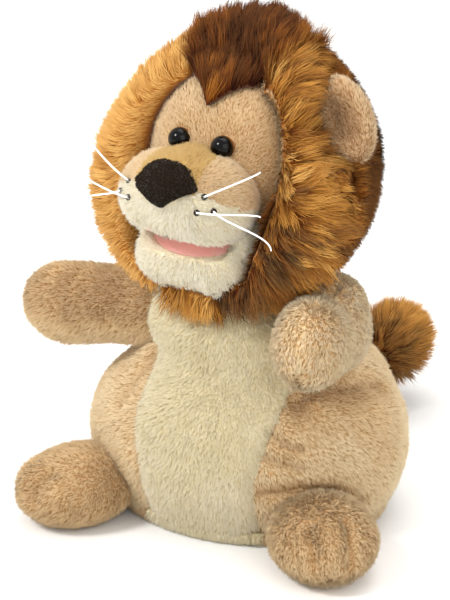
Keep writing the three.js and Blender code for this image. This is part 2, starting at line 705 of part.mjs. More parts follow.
function whiskerPieces() {
  const made = [];
  for (const { side, sign } of SIDES) {
    DOTS.forEach(({ across, height, rise }, index) => {
      const front = cheekFront(across, height);
      const normal = new THREE.Vector3(
        (across - LOBE_OFFSET) / LOBE_HALF_WIDTH ** 2,
        (front + LOBE_FORWARD) / LOBE_HALF_DEPTH ** 2,
        (height - LOBE_HEIGHT) / LOBE_HALF_HEIGHT ** 2,
      ).normalize();
      const seat = new THREE.Vector3(across, front, height);
      const dotAt = seat.clone().addScaledVector(normal, FIT_GAP + DOT_STAND / 2);
      const dot = rod(DOT_RADIUS, DOT_STAND, 10);
      dot.applyQuaternion(new THREE.Quaternion().setFromUnitVectors(new THREE.Vector3(0, 1, 0), normal));
      dot.translate(dotAt.x, dotAt.y, dotAt.z);
      const away = new THREE.Vector3(1, WHISKER_SWEEP, rise).normalize();
      const start = seat.clone().addScaledVector(normal, DOT_STAND + 2 * FIT_GAP + THREAD_RADIUS);
      const bend = start.clone().addScaledVector(normal, WHISKER_LENGTH / 4);
      bend.addScaledVector(away, WHISKER_LENGTH / 4);
      const tip = start.clone().addScaledVector(away, WHISKER_LENGTH);
      const whisker = thread(new THREE.QuadraticBezierCurve3(start, bend, tip), THREAD_RADIUS, 4, 5);
      const mirror = (solid) => (sign > 0 ? solid : solid.mirror([1, 0, 0]));
      made.push(
        piece(`${side}_whisker_dot_${index + 1}`, mirror(toSolid(dot)), "dot"),
        piece(`${side}_whisker_${index + 1}`, mirror(whisker), "thread"),
      );
    });
  }
  return made;
}

function headPieces() {
  const reach = headBack + BEYOND;
  const eyes = eyePieces();
  const neckBall = neckSocket();
  const pocketLevels = [
    [toNeck[2], POCKET_HALF_WIDTH, POCKET_HALF_DEPTH],
    [POCKET_TOP - POCKET_HALF_DEPTH, POCKET_HALF_WIDTH, POCKET_HALF_DEPTH],
    [POCKET_TOP, POCKET_HALF_WIDTH / 2, POCKET_HALF_DEPTH / 2],
  ];
  const pocketForm = (grow) => ovalLoft(pocketLevels, { grow, rings: 4, count: 12, above: grow + 1 });
  const thumb = rod(THUMB_RADIUS, THUMB_DEPTH + CORE_SET_BACK, 14);
  const thumbBore = toSolid(thumb.translate(0, (CORE_SET_BACK - THUMB_DEPTH) / 2, THUMB_HEIGHT));
  const behindFace = block([-reach, -BACK_PANEL_FRONT + CORE_SET_BACK, -reach], [reach, reach, reach]);
  const ears = SIDES.map(({ sign }) => earForm(sign, FIT_GAP));
  const noseForm = muzzleForm(NOSE_THICKNESS).intersect(noseTool(0)).subtract(muzzleForm(FIT_GAP));
  const noseCut = muzzleForm(NOSE_THICKNESS + FIT_GAP).intersect(noseTool(FIT_GAP));

  const filling = cut(coreForm(), pocketForm(LINING_THICKNESS + FIT_GAP), neckBall, thumbBore, ...eyes.tools);
  const pocket = cut(pocketForm(LINING_THICKNESS), pocketForm(0), neckBall, thumbBore);
  const faceSkin = coreForm(SKIN_THICKNESS).subtract(coreForm(FIT_GAP));
  const face = cut(faceSkin.intersect(faceTool(0)), neckBall, thumbBore, ...eyes.tools);
  const jawSweep = [-JAW_CLOSES, 0, JAW_OPENS].map((turn) =>
    jawForm(2 * FIT_GAP + JOINT_GAP, JAW_DROP + turn),
  );
  const shoulders = ball(SHOULDER_SWEEP_RADIUS, toNeck);
  const manePile = (grow) => {
    const hood = coreForm(MANE_SKIN + grow).subtract(behindFace.translate([0, grow, 0]));
    return maneForm(grow).add(hood);
  };
  const mane = cut(
    manePile(0),
    coreForm(FIT_GAP),
    faceTool(FIT_GAP),
    muzzleForm(FIT_GAP * 2),
    shoulders,
    ...jawSweep,
    ...ears,
    earParting(),
  );
  const backShell = coreForm(BACK_PILE).subtract(coreForm(FIT_GAP)).intersect(behindFace);
  const back = cut(backShell, manePile(FIT_GAP), faceTool(FIT_GAP), shoulders, ...ears);

  const made = [
    piece("head_filling", filling, "filling"),
    piece("finger_pocket", pocket, "lining"),
    piece("face_panel", face, "tan"),
    piece("head_back_panel", back, "brown"),
    piece("nose_pad", noseForm, "felt"),
    ...manePieces(mane),
    ...muzzlePieces(noseCut, eyes.tools),
    ...whiskerPieces(),
    ...eyes.eyes,
  ];
  for (const { side, sign } of SIDES) {
    made.push(piece(`${side}_ear`, cut(earForm(sign), coreForm(FIT_GAP)), "tan"));
  }
  return made;
}

function jawPieces() {
  const reach = headBack;
  const stackTop = 0;
  const boardTop = stackTop - FELT_THICKNESS - FIT_GAP;
  const skinTop = boardTop - BOARD_THICKNESS - FIT_GAP;
  const placed = (solid) => solid.rotate([JAW_DROP, 0, 0]).translate(jawHinge);
  const aboveSkin = placed(block([-reach, -reach, skinTop], [reach, reach, reach]));
  const thumb = rod(THUMB_RADIUS, THUMB_DEPTH, 14).translate(0, -THUMB_DEPTH / 2, THUMB_HEIGHT);
  const head = coreForm(SKIN_THICKNESS + FIT_GAP).add(neckSocket());
  const headAt = [0, -JAW_CLOSES, JAW_OPENS].map((turn) => turnedAbout(head, jawHinge, [-turn, 0, 0]));
  const jaw = cut(jawForm(0, JAW_DROP), aboveSkin, toSolid(thumb), ...headAt);
  const plate = (top, thickness) => cut(placed(mouthPlate(0, MOUTH_FLOOR_LENGTH, top, thickness)), ...headAt);
  return [
    piece("lower_jaw", jaw, "cream"),
    piece("jaw_board", plate(boardTop, BOARD_THICKNESS), "board"),
    piece("mouth_floor_felt", plate(stackTop, FELT_THICKNESS), "pink"),
  ];
}

// Arms, turned on a round root in the flank's armhole

function armProfile(grow, open) {
  const root = ARM_ROOT_RADIUS + grow;
  const start = -ARM_ROOT_TRIM;
  const startRadius = Math.sqrt(Math.max(1, root * root - start * start));
  const along = new THREE.SplineCurve([
    new THREE.Vector2(startRadius, start),
    new THREE.Vector2(root, 0),
    new THREE.Vector2(ARM_NECK_RADIUS + grow, ARM_NECK_AT),
    new THREE.Vector2(ARM_PAW_RADIUS + grow, ARM_PAW_AT),
    new THREE.Vector2(
      (ARM_PAW_RADIUS + grow) * (1 - ARM_TIP_ROUND),
      ARM_LENGTH + grow - ARM_PAW_RADIUS * ARM_TIP_ROUND,
    ),
  ]);
  const beyond = start - BEYOND;
  const mouth = [new THREE.Vector2(0, beyond), new THREE.Vector2(startRadius, beyond)];
  const tail = open ? mouth : [new THREE.Vector2(0, start)];
  return [...tail, ...along.getPoints(8), new THREE.Vector2(0, ARM_LENGTH + grow)];
}

function armPieces(side, sign, aim) {
  const turn = new THREE.Quaternion().setFromUnitVectors(new THREE.Vector3(0, 1, 0), aim.clone().normalize());
  const place = (geometry) => toSolid(geometry.applyQuaternion(turn).translate(...shoulderOf(sign)));
  const form = (grow, open) => place(new THREE.LatheGeometry(armProfile(grow, open), 12));
  const skin = form(0, false).subtract(form(-SKIN_THICKNESS, true));
  const filling = form(-SKIN_THICKNESS - FIT_GAP, false);
  return [piece(`${side}_arm`, skin, "tan"), piece(`${side}_arm_filling`, filling, "filling")];
}

// Feet, flat underneath, sewn to the body at the top of the heel

function footPieces(side, sign) {
  const centre = [sign * FOOT_OFFSET, -FOOT_FORWARD, FOOT_HEIGHT];
  const place = (solid) => solid.rotate([0, 0, sign * FOOT_SPLAY]).translate(centre);
  const form = (grow) =>
    place(
      egg([FOOT_HALF_WIDTH + grow, FOOT_HALF_LENGTH + grow, FOOT_HALF_HEIGHT + grow], [0, 0, 0]),
    );
  const wide = FOOT_OFFSET + FOOT_HALF_LENGTH + BEYOND;
  const deep = FOOT_FORWARD + FOOT_HALF_LENGTH + BEYOND;
  const underFloor = (height) => block([-wide, -deep, -BEYOND], [wide, deep, height]);
  const body = torsoForm(JOINT_GAP);
  const toes = [-1, 1].map((toe) => {
    const across = toe * TOE_OFFSET;
    const slice = Math.sqrt(1 - (across / FOOT_HALF_WIDTH) ** 2);
    const stand = THREAD_RADIUS + FIT_GAP;
    const points = TOE_LINE_ANGLES.map((degrees) => {
      const angle = radians(degrees);
      const length = (FOOT_HALF_LENGTH + stand) * slice * Math.cos(angle);
      return new THREE.Vector3(across, -length, (FOOT_HALF_HEIGHT + stand) * slice * Math.sin(angle));
    });
    return place(thread(new THREE.CatmullRomCurve3(points), THREAD_RADIUS, 5, 5));
  });
  const hollow = cut(form(-SKIN_THICKNESS), underFloor(SKIN_THICKNESS));
  const skin = cut(form(0), hollow, underFloor(0), body);
  const filling = cut(form(-SKIN_THICKNESS - FIT_GAP), underFloor(SKIN_THICKNESS + FIT_GAP), body);
  return [
    piece(`${side}_foot`, skin, "tan"),
    piece(`${side}_foot_filling`, filling, "filling"),
    ...toes.map((toe, index) => piece(`${side}_toe_stitch_${index + 1}`, toe, "stitch")),
  ];
}

// Tail, a stuffed tube on a round root, with a fur tuft at its end

function tailPieces() {
  const [x, y, z] = tailRoot;
  const end = new THREE.Vector3(x + TAIL_SWAY, y + TAIL_LENGTH, z + TAIL_RISE);
  const middle = new THREE.Vector3(x, y + TAIL_LENGTH / 2, z + TAIL_RISE / 3);
  const curve = new THREE.QuadraticBezierCurve3(new THREE.Vector3(x, y, z), middle, end);
  const tube = join(ball(TAIL_RADIUS, tailRoot, 10, 6), thread(curve, TAIL_RADIUS, 4, 10));
  const tuftAt = end.clone().add(new THREE.Vector3(TAIL_SWAY / 3, TUFT_HALF_LENGTH - TAIL_RADIUS, TAIL_RISE));
  const tuft = egg([TUFT_RADIUS, TUFT_HALF_LENGTH, TUFT_RADIUS], [tuftAt.x, tuftAt.y, tuftAt.z], 14, 8);
  const socket = join(
    thread(curve, TAIL_RADIUS + FIT_GAP, 4, 10),
    ball(TAIL_RADIUS + FIT_GAP, end.toArray(), 10, 6),
  );
  return [piece("tail", tube, "tan"), piece("tail_tuft", cut(tuft, socket), "golden")];
}

// Assembly

const puppet = new THREE.Group();
puppet.add(...torsoPieces(), neckCollar());

const headTurn = new THREE.Group();
headTurn.position.set(...PIVOT);
headTurn.rotation.z = -radians(HEAD_TURN);
const head = new THREE.Group();
head.position.set(-toNeck[0], -toNeck[1], -toNeck[2]);
head.add(...headPieces(), ...jawPieces());
headTurn.add(head);
puppet.add(headTurn);

puppet.add(...armPieces("left", 1, LEFT_ARM_AIM), ...armPieces("right", -1, RIGHT_ARM_AIM));
for (const { side, sign } of SIDES) puppet.add(...footPieces(side, sign));
puppet.add(...tailPieces());

// The origin is the middle of the footprint, on the floor.
const footprint = new THREE.Box3().setFromObject(puppet, true).getCenter(new THREE.Vector3());
puppet.position.set(-footprint.x, -footprint.y, 0);

export default puppet;
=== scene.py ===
"""A plush lion hand puppet: stuffed body, long-haired mane, working mouth, arms, feet and tail.

Lengths are millimetres in the puppet's own frame, whose origin lies on the floor under the neck,
with the face towards -Y. They become metres in the shared frame when a mesh is made.
"""

import json
import logging
import math
from dataclasses import dataclass, field, replace
from enum import Enum
from typing import Callable, Optional, Sequence

import bpy
import numpy as np
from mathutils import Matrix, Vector, kdtree


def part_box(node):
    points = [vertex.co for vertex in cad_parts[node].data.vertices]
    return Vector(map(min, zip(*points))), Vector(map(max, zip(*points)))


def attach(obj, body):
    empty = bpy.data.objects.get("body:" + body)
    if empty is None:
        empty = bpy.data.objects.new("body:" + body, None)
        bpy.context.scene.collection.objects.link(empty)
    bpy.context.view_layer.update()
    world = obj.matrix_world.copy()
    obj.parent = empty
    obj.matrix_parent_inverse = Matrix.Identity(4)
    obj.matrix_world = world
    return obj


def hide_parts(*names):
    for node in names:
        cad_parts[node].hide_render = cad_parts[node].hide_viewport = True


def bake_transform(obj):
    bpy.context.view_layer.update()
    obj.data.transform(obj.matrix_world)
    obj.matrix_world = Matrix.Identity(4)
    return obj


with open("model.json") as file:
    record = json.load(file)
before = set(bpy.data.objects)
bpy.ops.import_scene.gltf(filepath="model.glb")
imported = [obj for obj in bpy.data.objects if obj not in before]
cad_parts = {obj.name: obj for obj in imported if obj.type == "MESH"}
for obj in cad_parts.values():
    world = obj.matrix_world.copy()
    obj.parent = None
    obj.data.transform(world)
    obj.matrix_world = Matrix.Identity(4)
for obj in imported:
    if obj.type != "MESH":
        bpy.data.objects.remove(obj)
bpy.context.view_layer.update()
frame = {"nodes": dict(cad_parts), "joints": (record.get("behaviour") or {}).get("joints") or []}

LOG = logging.getLogger("puppet")
MM = 0.001
FLOOR_CLEARANCE = 0.4  # mm that the pile keeps above the floor
POLE_GAP = 0.03  # radians left open at the poles of a lobed form, where a middle point closes it
STRAND_CELL = 0.004  # half width of a strand's cell in the colour map
STRAND_SWING = 2.2  # half turns that a wavy strand swings through
LOCK_PHASE = 0.4  # spread of the swing inside a lock, in radians
LOCK_CURVE = 1.5  # how late along their length a lock's strands come together
SHADE_RANGE = (0.01, 0.99)
Array = np.ndarray
Triple = tuple[float, float, float]
Lobe = tuple[Triple, Triple]
Field = Callable[[Array, Array], Array]  # a value at each place, from points and normals


class Body(Enum):
    """The moving bodies that pieces ride on."""

    TORSO = "torso"
    NECK = "neck"
    HEAD = "head"
    JAW = "jaw"
    LEFT_ARM = "left_arm"
    RIGHT_ARM = "right_arm"
    LEFT_FOOT = "left_foot"
    RIGHT_FOOT = "right_foot"
    TAIL = "tail"


class Side(Enum):
    """The puppet's own left and right."""

    LEFT = 1
    RIGHT = -1

    @property
    def word(self) -> str:
        """The side's name in node names."""
        return self.name.lower()


# Frames


@dataclass(frozen=True)
class Placement:
    """A turn about the vertical and a shift, from a piece's own frame to the puppet's."""

    turn: float = 0.0
    shift: Triple = (0.0, 0.0, 0.0)

    def _matrix(self) -> Array:
        """The turn as a matrix."""
        c, s = math.cos(math.radians(self.turn)), math.sin(math.radians(self.turn))
        return np.array([[c, -s, 0.0], [s, c, 0.0], [0.0, 0.0, 1.0]])

    def out(self, points: Array) -> Array:
        """Carry points from the piece's own frame to the puppet's."""
        return points @ self._matrix().T + np.array(self.shift)

    def back(self, points: Array) -> Array:
        """Carry points from the puppet's frame to the piece's own."""
        return (points - np.array(self.shift)) @ self._matrix()

    def aim(self, vectors: Array) -> Array:
        """Turn directions from the piece's own frame to the puppet's."""
        return vectors @ self._matrix().T

    def unaim(self, vectors: Array) -> Array:
        """Turn directions from the puppet's frame to the piece's own."""
        return vectors @ self._matrix()


def joint(name: str) -> Array:
    """Where a joint lies in the shared frame, in metres."""
    return next(np.array(j["pos_m"]) for j in frame["joints"] if j["name"] == name)


NECK = joint("neck_turn")
ORIGIN = np.array([NECK[0], NECK[1], 0.0]) / MM
NECK_HEIGHT = NECK[2] / MM
HEAD_TURN = -9.0
HEAD_MIDDLE = np.array([0.0, -3.0, 58.0])  # from the neck's pivot, before the turn
HEAD = Placement(HEAD_TURN, tuple(Placement(HEAD_TURN).aim(HEAD_MIDDLE) + np.array([0.0, 0.0, NECK_HEIGHT])))


def to_world(points: Array) -> Array:
    """Millimetres in the puppet's frame to metres in the shared frame."""
    return (np.asarray(points) + ORIGIN) * MM


def from_world(points: Array) -> Array:
    """Metres in the shared frame to millimetres in the puppet's frame."""
    return np.asarray(points) / MM - ORIGIN


# Numbers


def unit(vectors: Array) -> Array:
    """Vectors of length one."""
    return vectors / np.maximum(np.linalg.norm(vectors, axis=-1, keepdims=True), 1e-9)


def dot(a: Array, b: Array) -> Array:
    """Row by row dot product, kept as a column."""
    return (a * b).sum(axis=-1, keepdims=True)


def ramp(low: float, high: float, x: Array) -> Array:
    """A smooth step from 0 at low to 1 at high."""
    t = np.clip((x - low) / (high - low), 0.0, 1.0)
    return t * t * (3.0 - 2.0 * t)


def bell(x: Array, width: float) -> Array:
    """A smooth hump of height 1 at zero."""
    return np.exp(-((x / width) ** 2))


def around(columns: int) -> Array:
    """Angles of one full turn, without its end."""
    return np.linspace(0.0, 2 * math.pi, columns, endpoint=False)


def smooth_through(stations: Sequence[Sequence[float]], at: Array) -> Array:
    """Values on a smooth curve through stations.

    Args:
        stations: rows of a position and its values, in rising order.
        at: the positions wanted.

    Returns:
        One row of values for each position.
    """
    table = np.array(stations, float)
    x, y = table[:, 0], table[:, 1:]
    slope = np.gradient(y, x, axis=0)
    k = np.clip(np.searchsorted(x, at) - 1, 0, len(x) - 2)
    h = (x[k + 1] - x[k])[:, None]
    t = ((at - x[k]) / (x[k + 1] - x[k]))[:, None]
    return (
        (2 * t**3 - 3 * t**2 + 1) * y[k]
        + (t**3 - 2 * t**2 + t) * h * slope[k]
        + (3 * t**2 - 2 * t**3) * y[k + 1]
        + (t**3 - t**2) * h * slope[k + 1]
    )


def noise(points: Array, size: float, seed: int = 0) -> Array:
    """A smooth random value from -1 to 1 at each point.

    Args:
        points: points in millimetres.
        size: the distance over which the value changes.
        seed: picks another pattern.

    Returns:
        One value for each point.
    """
    p = np.asarray(points) / size
    cell = np.floor(p).astype(np.int64)
    f = p - cell
    f = f * f * (3.0 - 2.0 * f)
    total = np.zeros(p.shape[:-1])
    for corner in np.ndindex(2, 2, 2):
        i = cell + np.array(corner)
        h = (i[..., 0] * 73856093) ^ (i[..., 1] * 19349663) ^ (i[..., 2] * 83492791) ^ (seed * 2654435761)
        h = ((h ^ (h >> 13)) * 1274126177) & 0xFFFFFFFF
        value = ((h ^ (h >> 16)) & 0xFFFF) / 32767.5 - 1.0
        total += value * np.prod(np.where(np.array(corner) == 1, f, 1.0 - f), axis=-1)
    return total


def uneven(points: Array, size: float, seed: int) -> Array:
    """Points of a stuffed form, moved a little by a noise of a size."""
    return points + 0.5 * noise(points, size, seed)[..., None]


# Materials


def linear(hex_colour: str) -> tuple[float, float, float, float]:
    """An sRGB hex colour as linear RGBA."""
    channels = [int(hex_colour[i : i + 2], 16) / 255.0 for i in (1, 3, 5)]
    bent = [c / 12.92 if c <= 0.04045 else ((c + 0.055) / 1.055) ** 2.4 for c in channels]
    return (bent[0], bent[1], bent[2], 1.0)


def wire(tree: bpy.types.NodeTree, node: bpy.types.Node, inputs: dict) -> None:
    """Give a node's inputs their values, or a link where a socket is given."""
    for key, value in inputs.items():
        if isinstance(value, bpy.types.NodeSocket):
            tree.links.new(value, node.inputs[key])
        else:
            node.inputs[key].default_value = value


def add_node(
    tree: bpy.types.NodeTree, kind: str, inputs: Optional[dict] = None, **settings
) -> bpy.types.Node:
    """Add a shader node.

    Args:
        tree: the node tree.
        kind: the node's type name.
        inputs: value, or socket to link from, for each named input.
        settings: attributes of the node.

    Returns:
        The node.
    """
    node = tree.nodes.new(kind)
    for key, value in settings.items():
        setattr(node, key, value)
    wire(tree, node, inputs or {})
    return node


def add_ramp(
    tree: bpy.types.NodeTree, source: bpy.types.NodeSocket, stops: Sequence[tuple[float, str]]
) -> bpy.types.NodeSocket:
    """Add a colour ramp.

    Args:
        tree: the node tree.
        source: the socket that drives it.
        stops: position and hex colour of each stop, two or more.

    Returns:
        Its colour socket.
    """
    node = add_node(tree, "ShaderNodeValToRGB", {"Fac": source})
    elements = node.color_ramp.elements
    while len(elements) < len(stops):
        elements.new(0.5)
    for element, (position, colour) in zip(elements, stops):
        element.position = position
        element.color = linear(colour)
    return node.outputs["Color"]


def add_noise(tree: bpy.types.NodeTree, size: float, **inputs: float) -> bpy.types.NodeSocket:
    """Add a noise whose grain has a real size in millimetres, and return its value."""
    place = add_node(tree, "ShaderNodeTexCoord").outputs["Object"]
    told = {"Vector": place, "Scale": 1.0 / (size * MM), **inputs}
    return add_node(tree, "ShaderNodeTexNoise", told).outputs["Fac"]


@dataclass(frozen=True)
class Finish:
    """A named finish, made into a material once."""

    name: str

    def material(self) -> bpy.types.Material:
        """The finish as a material."""
        if self.name in bpy.data.materials:
            return bpy.data.materials[self.name]
        material = bpy.data.materials.new(self.name)
        material.use_nodes = True
        tree = material.node_tree
        self.lay_out(tree, tree.nodes["Principled BSDF"])
        return material

    def lay_out(self, tree: bpy.types.NodeTree, shader: bpy.types.Node) -> None:
        """Wire the material's shader."""
        raise NotImplementedError


@dataclass(frozen=True)
class PileFinish(Finish):
    """Fibres of a plush: colour by strand from shaded to bright, and from root to tip, with painted shade at
    the roots and tips paler, partly their own colour and partly painted rim light.
    """

    shades: tuple[str, ...]
    root: str = "#8A6A4A"
    tip: str = "#FFFFFF"
    root_reach: float = 0.55
    tip_share: float = 0.18
    sheen: float = 0.25

    def lay_out(self, tree: bpy.types.NodeTree, shader: bpy.types.Node) -> None:
        """Wire the material's shader to the strands' colour map."""
        uv = add_node(tree, "ShaderNodeUVMap", uv_map="OFBake")
        split = add_node(tree, "ShaderNodeSeparateXYZ", {"Vector": uv.outputs["UV"]}).outputs
        last = len(self.shades) - 1
        shade = add_ramp(tree, split["X"], [(i / last, c) for i, c in enumerate(self.shades)])
        # painted shade: the strands darken towards their roots, where they shade each other
        shadow = add_ramp(tree, split["Y"], [(0.0, self.root), (self.root_reach, "#FFFFFF")])
        told = {"Factor": 1.0, "A": shade, "B": shadow}
        root_shadowed = add_node(tree, "ShaderNodeMix", told, data_type="RGBA", blend_type="MULTIPLY")
        # paler tips: partly the fibres' own colour, partly painted rim light at the plush's edges
        tips_paler_and_rim_lit = add_node(tree, "ShaderNodeMath", {0: split["Y"], 1: 2.0}, operation="POWER")
        told = {0: tips_paler_and_rim_lit.outputs[0], 1: self.tip_share}
        amount = add_node(tree, "ShaderNodeMath", told, operation="MULTIPLY")
        told = {"Factor": amount.outputs[0], "A": root_shadowed.outputs["Result"], "B": linear(self.tip)}
        tipped = add_node(tree, "ShaderNodeMix", told, data_type="RGBA")
        wire(tree, shader, {
            "Base Color": tipped.outputs["Result"], "Roughness": 0.85, "Specular IOR Level": 0.08,
            "Sheen Weight": self.sheen, "Sheen Roughness": 0.45, "Sheen Tint": linear(self.tip),
        })


@dataclass(frozen=True)
class ClothFinish(Finish):
    """A backing, felt or woven cloth: mottled colour with fibre bump at a real scale."""

    dark: str
    light: str
    grain: float = 0.6
    bump: float = 0.3
    woven: bool = False

    def lay_out(self, tree: bpy.types.NodeTree, shader: bpy.types.Node) -> None:
        """Wire the material's shader."""
        fine = add_noise(tree, self.grain, Detail=3.0, Roughness=0.6)
        told = {"Factor": 0.45, "A": fine, "B": add_noise(tree, 12.0, Detail=2.0)}
        mottle = add_node(tree, "ShaderNodeMix", told, data_type="FLOAT").outputs["Result"]
        height = fine
        if self.woven:
            place = add_node(tree, "ShaderNodeTexCoord").outputs["Object"]
            told = {"Vector": place, "Scale": 1.0 / (9.0 * MM), "Distortion": 1.5}
            height = add_node(tree, "ShaderNodeTexWave", told, bands_direction="Z").outputs["Fac"]
        told = {"Strength": self.bump, "Distance": self.grain * MM, "Height": height}
        wire(tree, shader, {
            "Base Color": add_ramp(tree, mottle, [(0.32, self.dark), (0.68, self.light)]),
            "Normal": add_node(tree, "ShaderNodeBump", told).outputs["Normal"],
            "Roughness": 0.9, "Specular IOR Level": 0.2, "Sheen Weight": 0.2,
        })


@dataclass(frozen=True)
class SmoothFinish(Finish):
    """A smooth board or moulding with slight unevenness."""

    dark: str
    light: str
    roughness: float

    def lay_out(self, tree: bpy.types.NodeTree, shader: bpy.types.Node) -> None:
        """Wire the material's shader."""
        colour = add_ramp(tree, add_noise(tree, 3.0, Detail=2.0), [(0.3, self.dark), (0.7, self.light)])
        wire(tree, shader, {"Base Color": colour, "Roughness": self.roughness})


@dataclass(frozen=True)
class EyeFinish(Finish):
    """A plastic eye: black in front, amber at the back, under clear gloss."""

    stops: tuple = ((0.0, "#6A3E14"), (0.4, "#8A561E"), (0.46, "#4E2E10"), (0.5, "#050302"), (1.0, "#050302"))

    def lay_out(self, tree: bpy.types.NodeTree, shader: bpy.types.Node) -> None:
        """Wire the material's shader; the sphere's map runs from its back to its front."""
        uv = add_node(tree, "ShaderNodeUVMap", uv_map="UVMap")
        split = add_node(tree, "ShaderNodeSeparateXYZ", {"Vector": uv.outputs["UV"]})
        wire(tree, shader, {
            "Base Color": add_ramp(tree, split.outputs["Y"], self.stops), "Roughness": 0.06,
            "Specular IOR Level": 0.15, "Coat Weight": 0.1, "Coat Roughness": 0.02,
        })


MANE_SHADES = ("#30140A", "#4E260E", "#743E14", "#9A5E1E", "#BC8034", "#D8A458")
TAN_PILE = PileFinish(
    "tan_pile", ("#9A7246", "#CBA574", "#E4C292", "#F2DAB0"), "#C8A87C", "#FFE8C2",
    root_reach=0.6, tip_share=0.42,
)
# A paler copy of the tan pile for the left arm: painted light where the arm reaches forward into the light
LIT_TAN_PILE = replace(
    TAN_PILE, name="pale_tan_pile", shades=("#C0925A", "#E4BC86", "#F8DCAC", "#FFEACA"), root="#DCB888"
)
CREAM_PILE = PileFinish("cream_pile", ("#DCCA9C", "#EADBB4", "#F4E9CC"), "#EEE4C8", "#FFF6DE", sheen=0.4)
CHEEK_PILE = PileFinish("cheek_pile", ("#E4D6B4", "#F0E6CC", "#FAF3E2"), "#EEE6D0", "#FFFAF0", sheen=0.3)
FACE_PILE = PileFinish(
    "face_pile", ("#C09A6A", "#D8B486", "#E8CCA2"), "#CDB28A", "#FFEED0", tip_share=0.24, sheen=0.4
)
# the face pile with fewer pale tips, so less painted rim light, for the edge on the mane's foot
FACE_EDGE_PILE = replace(FACE_PILE, name="face_edge_pile", tip_share=0.1, sheen=0.1)
BRIDGE_PILE = PileFinish("bridge_pile", ("#AE8244", "#C8A05E", "#DAB87C"), "#CCB084", "#F2DFB4")
MANE_PILE = PileFinish("mane_pile", MANE_SHADES, "#8E6038", "#EBC27A", sheen=0.05)
CROWN_PILE = replace(MANE_PILE, name="crown_pile", root="#8E6040", tip="#B07C46", sheen=0.0)
FINE_PILE = PileFinish("fine_mane_pile", MANE_SHADES, "#C49A6C", "#F4D8A0", tip_share=0.2, sheen=0.1)
BACK_PILE = PileFinish(
    "back_pile", ("#2E180A", "#4C2A12", "#6E421C", "#9A6430"), "#7A5030", "#B07C40", tip_share=0.2, sheen=0.1
)
EAR_PILE = PileFinish("ear_pile", ("#8E6640", "#A87C50", "#CEA678", "#E4C8A0"), "#B8946A", "#FAECD2")
TUFT_PILE = PileFinish(
    "tuft_pile", ("#431E0A", "#7A4216", "#B47026", "#DCA450"), "#7A4A2C", "#F0BC6C",
    root_reach=0.8, tip_share=0.4, sheen=0.1,
)
NOSE_PILE = PileFinish(
    "nose_pile", ("#140E08", "#261C11", "#3A2D1C"), "#8A7A70", "#4E4030", tip_share=0.2, sheen=0.1
)
TAN_BACKING = ClothFinish("tan_backing", "#C29A68", "#D8B484")
CREAM_BACKING = ClothFinish("cream_backing", "#DED0A8", "#F0E6C6")
FACE_BACKING = ClothFinish("face_backing", "#BC9668", "#D0AC82")
GOLDEN_BACKING = ClothFinish("golden_backing", "#8A5018", "#B4762C")
BROWN_BACKING = ClothFinish("brown_backing", "#3E2210", "#5E3517")
EAR_BACKING = ClothFinish("ear_backing", "#94704A", "#B08A60")
LINING_CLOTH = ClothFinish("lining_cloth", "#CFC2A4", "#E4DAC0", grain=0.5, woven=True)
COLLAR_CLOTH = ClothFinish("collar_cloth", "#B99468", "#CDAA7C", grain=0.7)
PINK_FELT = ClothFinish("pink_felt_finish", "#F6BEB4", "#FFD8CE", grain=0.8, bump=0.4)
NOSE_FELT = ClothFinish("nose_felt_finish", "#171008", "#2C2215", grain=0.7, bump=0.5)
DOT_THREAD = ClothFinish("dot_thread", "#15100C", "#2A211A", grain=0.4)
WHISKER_THREAD = ClothFinish("whisker_thread_finish", "#ECECE8", "#FFFFFF", grain=0.3, bump=0.15)
TOE_THREAD = ClothFinish("toe_thread_finish", "#5A3C20", "#765230", grain=0.4)
BOARD = SmoothFinish("board_finish", "#C9BFA8", "#D8CFBA", 0.7)
WASHER = SmoothFinish("washer_finish", "#E6E6E2", "#F2F2EE", 0.4)
EYE_GLOSS = EyeFinish("eye_gloss")


# Meshes


def activate(obj: bpy.types.Object) -> None:
    """Make an object the only selected and active one."""
    bpy.ops.object.select_all(action="DESELECT")
    obj.select_set(True)
    bpy.context.view_layer.objects.active = obj


def new_object(name: str, data: bpy.types.ID) -> bpy.types.Object:
    """An object for a mesh, light or camera, at the origin."""
    obj = bpy.data.objects.new(name, data)
    bpy.context.collection.objects.link(obj)
    return obj


def modify(obj: bpy.types.Object, kind: str, **settings) -> None:
    """Add a modifier of a kind, give it its settings and apply it."""
    activate(obj)
    bpy.ops.object.modifier_add(type=kind)
    modifier = obj.modifiers[-1]
    for key, value in settings.items():
        setattr(modifier, key, value)
    bpy.ops.object.modifier_apply(modifier=modifier.name)


def grid_object(
    name: str, points: Array, wraps: bool = True, capped: bool = False, closed_rows: bool = False
) -> bpy.types.Object:
    """A smooth mesh over a grid of points.

    Args:
        name: the piece's name.
        points: rows by columns by three, in millimetres of the puppet's frame.
        wraps: whether the last column joins the first.
        capped: whether a middle point closes the first and last rows.
        closed_rows: whether the last row joins the first.

    Returns:
        The object.
    """
    rows, columns = points.shape[:2]
    vertices = points.reshape(-1, 3)
    faces = []
    for i in range(rows if closed_rows else rows - 1):
        below, above = i * columns, ((i + 1) % rows) * columns
        for j in range(columns if wraps else columns - 1):
            k = (j + 1) % columns
            faces.append((below + j, below + k, above + k, above + j))
    if capped:
        first, last, top = len(vertices), len(vertices) + 1, (rows - 1) * columns
        vertices = np.vstack([vertices, points[0].mean(axis=0), points[-1].mean(axis=0)])
        for j in range(columns):
            k = (j + 1) % columns
            faces += [(first, k, j), (last, top + j, top + k)]
    mesh = bpy.data.meshes.new(name)
    mesh.from_pydata(to_world(vertices).tolist(), [], faces)
    obj = new_object(name, mesh)
    activate(obj)
    bpy.ops.object.mode_set(mode="EDIT")
    bpy.ops.mesh.select_all(action="SELECT")
    bpy.ops.mesh.normals_make_consistent(inside=False)
    bpy.ops.object.mode_set(mode="OBJECT")
    bpy.ops.object.shade_smooth()
    return obj


